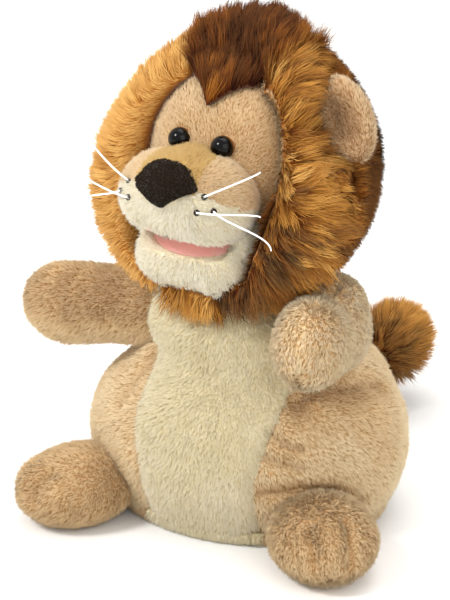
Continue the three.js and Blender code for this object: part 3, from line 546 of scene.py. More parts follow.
def rings(half_x: Array, half_y: Array, heights: Array, angles: Array) -> Array:
    """Points on level ellipses: a row for each height, with its half sizes, and a column for each angle."""
    x, y = half_x[:, None] * np.cos(angles), half_y[:, None] * np.sin(angles)
    return np.stack([x, y, np.broadcast_to(heights[:, None], x.shape)], axis=-1)


def lobed_points(
    middle: Triple, lobes: Sequence[Lobe], rows: int, columns: int, soft: float, pole: str = "Z"
) -> Array:
    """A stuffed form: the soft outline of several egg shapes, seen from a point inside.

    Args:
        middle: the point inside all of it.
        lobes: centre and half sizes of each egg.
        rows: points from pole to pole.
        columns: points around.
        soft: how widely the lobes flow together.
        pole: the axis that the rows run along, Z or Y.

    Returns:
        The grid of points, in the same frame as the lobes.
    """
    polar, turn = np.linspace(POLE_GAP, math.pi - POLE_GAP, rows)[:, None], around(columns)[None, :]
    across, side, along = np.sin(polar) * np.cos(turn), np.sin(polar) * np.sin(turn), np.cos(polar) + 0 * turn
    ray = np.stack([across, side, -along] if pole == "Z" else [across, -along, side], axis=-1)
    reach = []
    for centre, half in lobes:
        start = (np.array(middle) - np.array(centre)) / np.array(half)
        step = ray / np.array(half)
        a, b, c = (step * step).sum(-1), (step * start).sum(-1), (start * start).sum() - 1.0
        inside = np.maximum(b * b - a * c, 0.0)
        reach.append(np.where(b * b > a * c, np.maximum((-b + np.sqrt(inside)) / a, 0.0), 0.0))
    stack = np.array(reach)
    top = stack.max(axis=0)
    radius = top + soft * np.log(np.exp((stack - top) / soft).sum(axis=0)) - soft * 0.3
    return np.array(middle) + ray * radius[..., None]


def cad_copy(name: str, node: str, voxel: float, smooth: int) -> bpy.types.Object:
    """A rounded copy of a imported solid.

    Args:
        name: the new piece's name.
        node: the solid's node.
        voxel: the remesh size in millimetres.
        smooth: rounds of smoothing.

    Returns:
        The new object.
    """
    obj = new_object(name, frame["nodes"][node].data.copy())
    obj.data.materials.clear()
    modify(obj, "REMESH", mode="VOXEL", voxel_size=voxel * MM)
    modify(obj, "SMOOTH", factor=0.5, iterations=smooth)
    activate(obj)
    bpy.ops.object.shade_smooth()
    return obj


def vertex_values(mesh: bpy.types.Mesh, rows: bpy.types.bpy_prop_collection, name: str) -> Array:
    """One vector for each vertex of a mesh."""
    values = np.empty(len(mesh.vertices) * 3)
    rows.foreach_get(name, values)
    return values.reshape(-1, 3)


def tube_points(path: Array, radius: Array, columns: int = 12, flat: Optional[Array] = None) -> Array:
    """Rings of points along a path.

    Args:
        path: points of the middle line.
        radius: the radius at each point.
        columns: points in each ring.
        flat: sideways share of the radius at each point, if not round.

    Returns:
        The grid of points.
    """
    along = unit(np.gradient(path, axis=0))
    reference = np.array([0.0, 0.0, 1.0]) if abs(along[:, 2]).max() < 0.9 else np.array([1.0, 0.0, 0.0])
    side = unit(np.cross(along, reference))
    up = np.cross(side, along)
    turn = around(columns)[None, :, None]
    side = side if flat is None else side * flat[:, None]
    ring = np.cos(turn) * side[:, None] + np.sin(turn) * up[:, None]
    return path[:, None] + ring * radius[:, None, None]


def curve_points(controls: Sequence[Sequence[float]], count: int) -> Array:
    """Points along a Bezier curve of any degree."""
    points = np.array(controls, float)
    t = np.linspace(0.0, 1.0, count)[:, None]
    n = len(points) - 1
    return sum(math.comb(n, i) * (1 - t) ** (n - i) * t**i * points[i] for i in range(n + 1))


@dataclass
class Piece:
    """A made object, with its finish and its place in the moving frame.

    slot is not used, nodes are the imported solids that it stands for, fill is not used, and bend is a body
    and two ends for a bend that is not made: such a piece is fixed in place and not seated on a body.
    """

    obj: bpy.types.Object
    finish: Finish
    body: Body
    slot: str
    nodes: Sequence[str] = ()
    fill: Optional[float] = None
    bend: Optional[tuple[Body, Array, Array]] = None

    def dress(self) -> None:
        """Give the object its material and seat it on its body, or, with a bend, only fix it in place."""
        self.obj.data.materials.clear()
        self.obj.data.materials.append(self.finish.material())
        if self.bend is None:
            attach(self.obj, self.body.value)
        else:
            parent, start, end = self.bend
            start, end = tuple(to_world(start)), tuple(to_world(end))
            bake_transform(self.obj)
        if self.nodes:
            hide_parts(*self.nodes)


@dataclass
class SubAssembly:
    """Pieces that are made together and then dressed."""

    pieces: list[Piece] = field(default_factory=list, init=False)

    def add(self, *told, **also) -> None:
        """Add a piece, told as Piece is."""
        self.pieces.append(Piece(*told, **also))

    def build(self) -> None:
        """Make the pieces."""
        raise NotImplementedError

    def dress(self) -> None:
        """Give the pieces their finishes and seat them."""
        for piece in self.pieces:
            piece.dress()


# Pile


class Skin:
    """A mesh's triangles, for scattering strands over."""

    def __init__(self, obj: bpy.types.Object) -> None:
        mesh = obj.data
        mesh.calc_loop_triangles()
        corners = np.empty(len(mesh.loop_triangles) * 3, np.int32)
        mesh.loop_triangles.foreach_get("vertices", corners)
        corners = corners.reshape(-1, 3)
        self.points = from_world(vertex_values(mesh, mesh.vertices, "co"))[corners]
        self.normals = vertex_values(mesh, mesh.vertex_normals, "vector")[corners]

    def scatter(
        self, density: float, rng: np.random.Generator, weight: Optional[Field]
    ) -> tuple[Array, Array]:
        """Points spread over the mesh.

        Args:
            density: points for each square millimetre.
            rng: the seeded random source.
            weight: share of the density at a place, from 0 to 1.

        Returns:
            The points and the normals there.
        """
        a, b, c = self.points[:, 0], self.points[:, 1], self.points[:, 2]
        share = np.linalg.norm(np.cross(b - a, c - a), axis=1) / 2
        if weight is not None:
            worth = weight(self.points.mean(axis=1), unit(self.normals.mean(axis=1)))
            share = share * np.clip(worth, 0.0, 1.0)
        count = int(density * share.sum())
        pick = rng.choice(len(share), count, p=share / share.sum())
        u, v = rng.random(count), rng.random(count)
        over = u + v > 1.0
        u[over], v[over] = 1.0 - u[over], 1.0 - v[over]
        bary = np.stack([1.0 - u - v, u, v], axis=1)[:, :, None]
        return (self.points[pick] * bary).sum(axis=1), unit((self.normals[pick] * bary).sum(axis=1))


@dataclass(frozen=True)
class Pile:
    """How strands stand on a cloth: sizes in millimetres, directions as shares."""

    length: float
    width: float
    density: float
    rise: float = 0.45
    segments: int = 1
    jitter: float = 0.18
    vary: float = 0.25
    lock_size: float = 0.0
    gather: float = 0.0
    wave: float = 0.0
    droop: float = 0.0
    stray: float = 0.3
    speckle: float = 0.09
    lock_speckle: float = 0.16

    def grow(
        self, name: str, skin: Skin, flow: Field, tint: Field, seed: int,
        weight: Optional[Field] = None, trim: Optional[Field] = None,
    ) -> bpy.types.Object:
        """Grow strands on a skin.

        Args:
            name: the new piece's name.
            skin: where they are rooted.
            flow: the direction that the pile is brushed in at each root.
            tint: shade from 0 to 1 at each root.
            seed: of the random source.
            weight: share of the density at each place.
            trim: share of the length at each root.

        Returns:
            The strands as one mesh object.
        """
        rng = np.random.default_rng(seed)
        roots, normals = skin.scatter(self.density, rng, weight)
        count = len(roots)
        lay = flow(roots, normals)
        lay = unit(lay - normals * dot(lay, normals))
        heading = lay * (1.0 - self.rise) + normals * self.rise
        heading = unit(heading + rng.normal(0.0, self.jitter, (count, 3)))
        length = self.length * (1.0 + self.vary * rng.uniform(-1.0, 1.0, count))
        if trim is not None:
            length = length * trim(roots, normals)
        phase = rng.uniform(0.0, 2 * math.pi, count)
        shade = tint(roots, normals) + rng.normal(0.0, self.speckle, count)
        lock = np.arange(count)
        if self.lock_size > 0.0:
            lock = self._locks(roots, rng)
            heading = unit(heading * (1.0 - self.gather) + heading[lock] * self.gather)
            phase = phase[lock] + rng.normal(0.0, LOCK_PHASE, count)
            shade = 0.5 * shade + 0.5 * (shade[lock] + rng.normal(0.0, self.lock_speckle, count)[lock])
        side = unit(np.cross(heading, normals))
        t = np.linspace(0.0, 1.0, self.segments + 1)[None, :, None]
        swing = np.sin(STRAND_SWING * math.pi * t + phase[:, None, None]) * t
        spine = roots[:, None] + length[:, None, None] * (
            heading[:, None] * t + self.droop * lay[:, None] * t * t + self.wave * side[:, None] * swing
        )
        if self.lock_size > 0.0:
            spine = spine + self.gather * t**LOCK_CURVE * (spine[lock] - spine)
        spine[..., 2] = np.maximum(spine[..., 2], FLOOR_CLEARANCE)
        shading = unit(normals + self.stray * rng.normal(0.0, 0.5, (count, 3)) + 0.2 * lay)
        form = self._spikes if self.segments == 1 else self._ribbons
        return strand_object(name, *form(spine, side), np.clip(shade, *SHADE_RANGE), shading)

    def _locks(self, roots: Array, rng: np.random.Generator) -> Array:
        """The leading strand of each strand's lock."""
        spread = self.density * self.lock_size**2
        leaders = rng.choice(len(roots), max(1, int(len(roots) / spread)), replace=False)
        tree = kdtree.KDTree(len(leaders))
        for leader in leaders:
            tree.insert(roots[leader], int(leader))
        tree.balance()
        return np.array([tree.find(root)[1] for root in roots])

    def _ribbons(self, spine: Array, side: Array) -> tuple[Array, Array, Array, Array]:
        """Tapered ribbons along the strands' middle lines, as strand_object takes them."""
        count, levels = spine.shape[:2]
        segments = levels - 1
        steps = np.linspace(0.0, 1.0, levels)
        half = 0.5 * self.width * (1.0 - steps[:-1]) ** 0.6
        offset = side[:, None] * half[None, :, None]
        pairs = np.stack([spine[:, :-1] - offset, spine[:, :-1] + offset], axis=2)
        vertices = np.concatenate([pairs.reshape(count, 2 * segments, 3), spine[:, -1:]], axis=1)
        pattern = []
        for low in range(0, 2 * segments - 2, 2):
            pattern += [(low, low + 1, low + 3), (low, low + 3, low + 2)]
        pattern.append((2 * segments - 2, 2 * segments - 1, 2 * segments))
        along = np.concatenate([np.repeat(steps[:-1], 2), [1.0]])
        return vertices, np.array(pattern), along, np.array([-1.0, 1.0] * segments + [0.0])

    def _spikes(self, spine: Array, side: Array) -> tuple[Array, Array, Array, Array]:
        """Three-sided spikes along the strands' middle lines, as strand_object takes them."""
        root, tip = spine[:, 0], spine[:, 1]
        over = np.cross(side, unit(tip - root))
        half = 0.5 * self.width
        low = over * 0.4 * half
        corners = [root + over * half, root - side * half - low, root + side * half - low]
        pattern = np.array([(1, 0, 3), (2, 1, 3), (0, 2, 3)])
        along, lean = np.array([0.0, 0.0, 0.0, 1.0]), np.array([0.0, -1.0, 1.0, 0.0])
        return np.stack([*corners, tip], axis=1), pattern, along, lean


def strand_object(
    name: str, vertices: Array, pattern: Array, along: Array, lean: Array, shade: Array, shading: Array
) -> bpy.types.Object:
    """One mesh of many like strands, each with its own cell of the colour map.

    Args:
        name: the piece's name.
        vertices: strands by points by three, in millimetres.
        pattern: the triangles of one strand.
        along: share of the length at each of its points.
        lean: side of the middle line that each point lies on.
        shade: from 0 to 1 for each strand.
        shading: the direction that each strand is lit from.

    Returns:
        The object.
    """
    count, each = vertices.shape[:2]
    faces = (pattern[None] + each * np.arange(count)[:, None, None]).reshape(-1)
    mesh = bpy.data.meshes.new(name)
    mesh.vertices.add(count * each)
    mesh.loops.add(len(faces))
    mesh.polygons.add(len(faces) // 3)
    mesh.vertices.foreach_set("co", to_world(vertices.reshape(-1, 3)).astype(np.float32).ravel())
    mesh.loops.foreach_set("vertex_index", faces.astype(np.int32))
    mesh.polygons.foreach_set("loop_start", np.arange(0, len(faces), 3, dtype=np.int32))
    mesh.polygons.foreach_set("use_smooth", np.ones(len(faces) // 3, bool))
    across, up = shade[:, None] + STRAND_CELL * lean[None], np.broadcast_to(along, (count, each))
    cell = np.stack([across, up], axis=-1)
    layer = mesh.uv_layers.new(name="OFBake")
    layer.data.foreach_set("uv", cell.reshape(-1, 2)[faces].astype(np.float32).ravel())
    mesh.update()
    mesh.normals_split_custom_set_from_vertices(np.repeat(shading, each, axis=0).tolist())
    return new_object(name, mesh)


def brushed(x: float, y: float, z: float) -> Field:
    """A pile brushed one way all over."""
    return lambda points, normals: np.broadcast_to(np.array([x, y, z]), points.shape)


def mottled(middle: float = 0.5, broad: float = 0.16, fine: float = 0.12, seed: int = 0) -> Field:
    """Shade that drifts over the cloth in soft patches."""
    return lambda points, normals: (
        middle + broad * noise(points, 16.0, seed) + fine * noise(points, 5.0, seed + 1)
    )


SHORT = Pile(3.5, 0.6, 2.6, 0.5, stray=0.2, speckle=0.05, lock_size=1.6, gather=0.26, lock_speckle=0.06)
FACE_SHORT = Pile(3.0, 0.55, 2.8, 0.4, stray=0.2, speckle=0.05, lock_size=1.4, gather=0.22, lock_speckle=0.06)


# Body


@dataclass
class Torso(SubAssembly):
    """The pear-shaped body: belly, back and two flanks sewn edge to edge.

    levels are height, half width and half depth. belly is height and half width of the cream panel.
    creases are a line by degrees from the side and height, its depth and its width. dents are a
    direction, a height, a spread and a depth.
    """

    levels: tuple = (
        (0, 68, 55), (37, 83, 67), (70, 72, 60), (90, 56, 48), (106, 52, 46), (120, 42, 38), (127, 33, 31),
    )
    belly: tuple = ((0.0, 31.0), (37.0, 31.0), (90.0, 45.0), (127.0, 45.0))
    back_half: float = 34.0
    groove: float = 2.4
    groove_width: float = 5.0
    puff: float = 0.6
    cloth: float = 4.0
    hem_gap: float = 0.6
    mean_radius: float = 65.0
    rows: int = 72
    creases: tuple = (
        (((48, 73), (37, 77.5), (21.5, 77.5), (-6, 70)), 6.5, 6.0),
        (((63.5, 34.5), (51, 36.5), (39, 34), (21.5, 22)), 5.0, 4.0),
        (((61, 62.5), (49.5, 55)), 3.6, 2.6),
        (((63, 52), (50, 46.5)), 3.6, 2.6),
        (((43, 86), (12.5, 83)), 4.0, 4.0),
        (((135, 85.5), (135.5, 75), (132, 64.5)), 4.0, 5.0),
    )
    dents: tuple = (((-0.93, -0.36), 78.0, 16.0, 8.0), ((1.0, 0.0), 44.0, 30.0, 2.5))

    def ring(self, height: Array) -> tuple[Array, Array]:
        """Half width and half depth at each height."""
        sizes = smooth_through(self.levels, height)
        return sizes[:, 0], sizes[:, 1]

    def belly_seam(self, height: Array, half_width: Array) -> Array:
        """Angle of the belly's seams from the side."""
        table = np.array(self.belly)
        half = np.minimum(np.interp(height, table[:, 0], table[:, 1]), 0.92 * half_width)
        return np.arccos(half / half_width)

    def back_seam(self, half_width: Array) -> Array:
        """Angle of the back's seams from the side."""
        return np.arccos(np.minimum(self.back_half, 0.85 * half_width) / half_width)

    def panel(self, name: str, start: Array, end: Array, columns: int, seed: int) -> bpy.types.Object:
        """One sewn panel, puffed between its seams.

        Args:
            name: the piece's name.
            start: angle of its first edge at each row.
            end: angle of its last edge at each row.
            columns: points across.
            seed: of its unevenness.

        Returns:
            The panel.
        """
        height = np.linspace(self.hem_gap, self.levels[-1][0], self.rows)
        a, b = self.ring(height)
        share = np.linspace(0.0, 1.0, columns)
        angle = start[:, None] + (end - start)[:, None] * share[None]
        points = rings(a, b, height, angle)
        out = unit(np.stack([np.cos(angle) / a[:, None], np.sin(angle) / b[:, None], 0 * angle], axis=-1))
        seam = np.minimum(share, 1.0 - share)[None] * np.abs(end - start)[:, None] * a[:, None]
        lift = self.puff * (1.0 - np.exp(-seam / 14.0)) - self.groove * bell(seam, self.groove_width)
        lift = lift + 1.1 * noise(points, 26.0, seed) + 0.5 * noise(points, 9.0, seed + 1)
        lift = lift - self._creased(points) - self._dented(points)
        return grid_object(name, points + out * lift[..., None], wraps=False)

    def _creased(self, points: Array) -> Array:
        """How deep a place lies in a crease, in millimetres."""
        a, b = (half.reshape(points.shape[:-1]) for half in self.ring(points[..., 2].ravel()))
        turn = np.degrees(np.arctan2(-points[..., 1] / b, points[..., 0] / a))
        scale = np.array([math.radians(self.mean_radius), 1.0])
        place = np.stack([np.where(turn < -90.0, turn + 360.0, turn), points[..., 2]], axis=-1) * scale
        sunk = np.zeros(points.shape[:-1])
        for line, depth, width in self.creases:
            corners = np.array(line) * scale
            for start, end in zip(corners[:-1], corners[1:]):
                along = end - start
                t = np.clip(((place - start) @ along) / (along @ along), 0.0, 1.0)
                gap = np.linalg.norm(place - start - t[..., None] * along, axis=-1)
                sunk = np.maximum(sunk, depth * bell(gap, width))
        return sunk

    def _dented(self, points: Array) -> Array:
        """How far the body is drawn in, in millimetres."""
        drawn = np.zeros(points.shape[:-1])
        for towards, height, spread, depth in self.dents:
            facing = unit(points[..., :2]) @ np.array(towards)
            drawn += depth * bell(points[..., 2] - height, spread) * ramp(0.5, 0.95, facing)
        return drawn

    def _shade(self, middle: float, seed: int) -> Field:
        """Soft patches, with painted shade in the creases, and lighter near the floor."""
        plain = mottled(middle, seed=seed)
        return lambda points, normals: (
            plain(points, normals) - 0.1 * self._creased(points) + 0.25 * ramp(70.0, 15.0, points[:, 2])
        )

    def build(self) -> None:
        """Make the panels and their pile."""
        height = np.linspace(self.hem_gap, self.levels[-1][0], self.rows)
        a, _ = self.ring(height)
        belly, back = self.belly_seam(height, a), self.back_seam(a)
        cream = (CREAM_PILE, CREAM_BACKING, "cream_plush", 0.5)
        tan = (TAN_PILE, TAN_BACKING, "tan_plush", 0.78)
        left, right = ((f"{side.word}_flank_panel", f"{side.word}_body_filling") for side in Side)
        plan = (
            ("belly", -math.pi + belly, -belly, 60, cream, 0.0, ("belly_panel",)),
            ("left_flank", -belly, back, 70, tan, 0.6, left),
            ("back", back, math.pi - back, 50, tan, 0.0, ("back_panel",)),
            ("right_flank", math.pi - back, math.pi + belly, 70, tan, -0.6, right),
        )
        for index, (name, start, end, columns, wear, sideways, nodes) in enumerate(plan):
            pile, backing, slot, middle = wear
            cloth = self.panel(f"{name}_cloth", start, end, columns, 11 + index)
            flow, shade = brushed(sideways, 0.4, -1.0), self._shade(middle, 21 + index)
            fur = SHORT.grow(f"{name}_pile", Skin(cloth), flow, shade, 31 + index)
            modify(cloth, "SOLIDIFY", thickness=self.cloth * MM, offset=-1.0)
            self.add(cloth, backing, Body.TORSO, slot, nodes, 0.7)
            self.add(fur, pile, Body.TORSO, slot)


@dataclass
class Hem(SubAssembly):
    """The folded hem, and the hand lining that hangs from it, as height, half width and half depth."""

    torso: Torso
    height: float = 8.0
    thickness: float = 5.0
    lining: tuple = ((2, 50, 42), (50, 46, 39), (96, 37, 34), (107, 34, 32))

    def build(self) -> None:
        """Make the hem's two cloths and the lining."""
        turn = np.linspace(0.0, 2 * math.pi, 33)[:-1]
        levels = self.height / 2 + self.height / 2 * 0.94 * np.sin(turn)
        inward = self.thickness / 2 * (1.0 - np.cos(turn)) - 0.5
        a, b = (half - inward for half in self.torso.ring(np.maximum(levels, 0.0)))
        seam = float(self.torso.belly_seam(np.array([0.0]), np.array([self.torso.levels[0][1]]))[0])
        plan = (
            ("hem_front", -math.pi + seam, -seam, 60, CREAM_BACKING, CREAM_PILE, "cream_plush"),
            ("hem_round", -seam, math.pi + seam, 120, TAN_BACKING, TAN_PILE, "tan_plush"),
        )
        for index, (name, start, end, columns, backing, pile, slot) in enumerate(plan):
            points = rings(a, b, levels, np.linspace(start, end, columns))
            band = grid_object(f"{name}_cloth", points, wraps=False, closed_rows=True)
            flow, shade = brushed(0.0, 0.0, -1.0), mottled(seed=41 + index)
            fur = SHORT.grow(f"{name}_pile", Skin(band), flow, shade, 43 + index, self._outward)
            self.add(band, backing, Body.TORSO, slot, ("hem_band",), 0.5)
            self.add(fur, pile, Body.TORSO, slot)
        height = np.linspace(self.lining[0][0], self.lining[-1][0], 40)
        sizes = smooth_through(self.lining, height)
        points = rings(sizes[:, 0], sizes[:, 1], height, around(64))
        points[..., :2] *= (1.0 + 0.02 * noise(points, 14.0, 5))[..., None]
        cloth = grid_object("hand_lining_cloth", points)
        modify(cloth, "SOLIDIFY", thickness=1.5 * MM, offset=1.0)
        self.add(cloth, LINING_CLOTH, Body.TORSO, "lining_cloth", ("hand_lining",))

    @staticmethod
    def _outward(points: Array, normals: Array) -> Array:
        """Share of the pile: none on the hem's inner side."""
        return ramp(0.0, 0.3, dot(normals, unit(points * np.array([1.0, 1.0, 0.0])))[:, 0])


@dataclass
class Neck(SubAssembly):
    """The padded collar in the neck and the cloth pocket above it."""

    ball: float = 31.5
    bore: float = 26.4
    low: float = -12.0
    high: float = 18.0
    rows: int = 14

    def build(self) -> None:
        """Make the collar and the finger pocket."""
        up = np.linspace(self.low, self.high, self.rows)
        rise = np.concatenate([up, np.linspace(self.high, self.low, self.rows)])
        outer = np.maximum(np.sqrt(self.ball**2 - up**2), self.bore + 0.4)
        radius = np.concatenate([outer, np.full(self.rows, self.bore)])
        points = rings(radius, radius, NECK_HEIGHT + rise, around(72))
        collar = grid_object("neck_collar_pad", points, closed_rows=True)
        self.add(collar, COLLAR_CLOTH, Body.NECK, "lining_cloth", ("neck_collar",), 0.5)
        pocket = cad_copy("finger_pocket_cloth", "finger_pocket", 1.2, 4)
        self.add(pocket, LINING_CLOTH, Body.HEAD, "lining_cloth", ("finger_pocket",))


@dataclass
class Arm(SubAssembly):
    """A stuffed arm out of the shoulder, ending in a round paw; profile is distance and radius."""

    side: Side
    aim: Triple
    shade: float
    pile: PileFinish = TAN_PILE
    pale_below: float = 0.0
    lift: float = 0.0
    wrist: float = 48.0
    seam: tuple[float, float] = (-6.0, 16.0)
    profile: tuple = (
        (-20, 16.0), (-8, 18.5), (6, 18.6), (20, 18.6), (36, 20.2), (48, 18.6), (56, 13.6), (60.5, 7.5),
        (62.5, 1.0),
    )

    def build(self) -> None:
        """Make the arm and its pile."""
        name = f"{self.side.word}_arm"
        root = from_world(joint(f"{name}_swing"))
        aim = unit(np.array(self.aim))
        first, last = self.profile[0][0], self.profile[-1][0]
        distance = [np.linspace(first, self.wrist, 40), np.linspace(self.wrist + 1.0, last, 20)]
        distance = np.concatenate(distance)
        axis = root + aim * distance[:, None]
        radius = smooth_through(self.profile, distance)[:, 0]
        points = tube_points(axis, radius, 56, 1.0 - 0.25 * ramp(10.0, 52.0, distance))
        out = unit(points - axis[:, None])
        points[..., 2] += self.lift * ramp(38.0, -6.0, distance)[:, None] * ramp(-0.3, 0.9, out[..., 2])
        points = points + out * (0.9 * noise(points, 18.0, 3) + 0.35 * noise(points, 7.0, 4))[..., None]
        arm = grid_object(f"{name}_cloth", points, capped=True)
        seed = 60 + self.side.value
        plain = mottled(self.shade, seed=seed)

        def shade(roots: Array, normals: Array) -> Array:
            # painted light: the underside is painted paler than the top
            return plain(roots, normals) + self.pale_below * ramp(0.2, -0.6, normals[:, 2])

        flow = brushed(*(aim + np.array([0.0, 0.0, -0.5])))
        fur = SHORT.grow(f"{name}_pile", Skin(arm), flow, shade, seed + 2)
        bend = (Body.TORSO, *(root + aim * reach for reach in self.seam))
        self.add(arm, TAN_BACKING, Body(name), "tan_plush", (name, f"{name}_filling"), 0.85, bend)
        self.add(fur, self.pile, Body(name), "tan_plush", bend=bend)


@dataclass
class Foot(SubAssembly):
    """A stuffed foot, flat underneath, with two stitched toe lines."""

    side: Side
    centre: Triple = (68.0, -60.0, 17.5)
    half: Triple = (25.0, 31.0, 18.5)
    splay: float = 34.0
    toe_offset: float = 9.0
    groove: float = 5.0
    groove_width: float = 2.8
    stitch_sink: float = 3.6
    sole: float = 0.7
    shade: float = 0.6

    def _place(self) -> Placement:
        """The foot's own frame, toes to -Y."""
        x, y, z = self.centre
        return Placement(self.side.value * self.splay, (self.side.value * x, y, z))

    def _stitches(self) -> list[Array]:
        """The middle lines of the toe stitches, in the foot's frame."""
        slice_share = math.sqrt(1.0 - (self.toe_offset / self.half[0]) ** 2)
        angle = np.radians(np.linspace(58.0, 4.0, 20))
        ahead, up = -self.half[1] * slice_share * np.cos(angle), self.half[2] * slice_share * np.sin(angle)
        return [np.stack([np.full(20, sign * self.toe_offset), ahead, up], axis=1) for sign in (-1, 1)]

    def _gaps(self, local: Array) -> Array:
        """Distance from each stitch of each point in the foot's frame."""
        return np.array(
            [np.linalg.norm(local[..., None, :] - line, axis=-1).min(axis=-1) for line in self._stitches()]
        )

    def _clear(self, roots: Array) -> Array:
        """Share by which a place lies clear of the stitches."""
        return ramp(0.8, 3.4, self._gaps(self._place().back(roots)).min(axis=0))

    def _parted(self, roots: Array, normals: Array) -> Array:
        """The pile runs to the toes, and away from the stitches."""
        place = self._place()
        local = place.back(roots)
        apart = np.zeros(len(local))
        for line, gap in zip(self._stitches(), self._gaps(local)):
            apart += np.sign(local[:, 0] - line[0, 0]) * bell(gap, 4.0)
        ahead, across = place.aim(np.array([0.0, -1.0, -0.4])), place.aim(np.array([[1.0, 0.0, 0.0]]))
        return ahead + across * 1.6 * apart[:, None]

    def _trim(self, roots: Array, normals: Array) -> Array:
        """Share of the pile's length: short at the stitches and on the sole."""
        return (0.1 + 0.9 * self._clear(roots)) * (0.5 + 0.5 * ramp(-0.98, -0.9, normals[:, 2]))

    def build(self) -> None:
        """Make the foot, its pile and its toe stitches."""
        place, name = self._place(), f"{self.side.word}_foot"
        points = lobed_points((0, 0, 0), [((0, 0, 0), self.half)], 48, 72, 1.0)
        points *= 1.0 + 0.3 / self.half[2]
        out = unit(points / np.array(self.half) ** 2)
        sunk = (self.groove * bell(self._gaps(points), self.groove_width)).max(axis=0)
        lumps = 0.8 * noise(points + 100 * self.side.value, 18.0, 7)
        points = place.out(points + out * (lumps - sunk)[..., None])
        points[..., 2] = np.maximum(points[..., 2], self.sole + 0.1 * np.minimum(points[..., 2], 0.0))
        foot = grid_object(f"{name}_cloth", points, capped=True)
        seed = 70 + self.side.value
        plain = mottled(self.shade, seed=seed)

        def shade(roots: Array, normals: Array) -> Array:
            # painted shade: darker in the toe grooves beside the stitches and on the underside of the sole
            sole = ramp(-0.9, -0.98, normals[:, 2])
            return plain(roots, normals) - 0.7 * (1.0 - self._clear(roots)) - 0.3 * sole

        fur = SHORT.grow(f"{name}_pile", Skin(foot), self._parted, shade, seed + 2, trim=self._trim)
        self.add(foot, TAN_BACKING, Body(name), "tan_plush", (name, f"{name}_filling"), 0.85)
        self.add(fur, TAN_PILE, Body(name), "tan_plush")
        for number, line in enumerate(self._stitches(), 1):
            path = place.out(line * (1.0 - self.stitch_sink / self.half[2]))
            tube = tube_points(path, np.full(20, 1.0), 8)
            thread = grid_object(f"{self.side.word}_toe_thread_{number}", tube, capped=True)
            nodes = (f"{self.side.word}_toe_stitch_{number}",)
            self.add(thread, TOE_THREAD, Body(name), "toe_thread", nodes)


@dataclass
class Tail(SubAssembly):
    """A thin stuffed tail with a tuft of long hair."""

    root: Triple = (0.0, 65.0, 20.0)
    length: float = 66.0
    rise: float = 8.0
    sway: float = 13.0
    radius: float = 6.7
    tuft: Triple = (17.3, 147.5, 36.0)
    tuft_half: Triple = (16.0, 21.0, 16.0)
    hair: Pile = Pile(
        11.0, 0.5, 2.9, 0.5, segments=3, jitter=0.14, vary=0.4, lock_size=2.2, gather=0.34, lock_speckle=0.3
    )

    def build(self) -> None:
        """Make the tail, the tuft and their pile."""
        x, y, z = self.root
        middle, end = y + self.length / 2, y + self.length + 4
        controls = [(x, y - 6, z), (x, middle, z + self.rise / 3), (x + self.sway, end, z + self.rise)]
        path = curve_points(controls, 40)
        tail = grid_object("tail_cloth", tube_points(path, np.full(40, self.radius), 28), capped=True)
        along = (path[-1] - path[0]) / np.linalg.norm(path[-1] - path[0])
        fur = SHORT.grow("tail_pile", Skin(tail), brushed(*along), mottled(seed=81), 82)
        tuft = lobed_points(self.tuft, [(self.tuft, self.tuft_half)], 24, 32, 1.0, pole="Y")
        base = grid_object("tail_tuft_base", tuft, capped=True)
        start = path[-1] - along * 6.0
        plain = mottled(0.2, 0.12, 0.12, seed=83)

        def outward(roots: Array, normals: Array) -> Array:
            return unit(roots - start)

        def tint(roots: Array, normals: Array) -> Array:
            return plain(roots, normals) + 0.56 * ramp(15.0, 38.0, np.linalg.norm(roots - start, axis=1))

        long = self.hair.grow("tail_tuft_hair", Skin(base), outward, tint, 84)
        self.add(tail, TAN_BACKING, Body.TAIL, "tan_plush", ("tail",), 0.8)
        self.add(fur, TAN_PILE, Body.TAIL, "tan_plush")
        self.add(base, GOLDEN_BACKING, Body.TAIL, "golden_plush", ("tail_tuft",), 0.8)
        self.add(long, TUFT_PILE, Body.TAIL, "golden_plush")


# Head


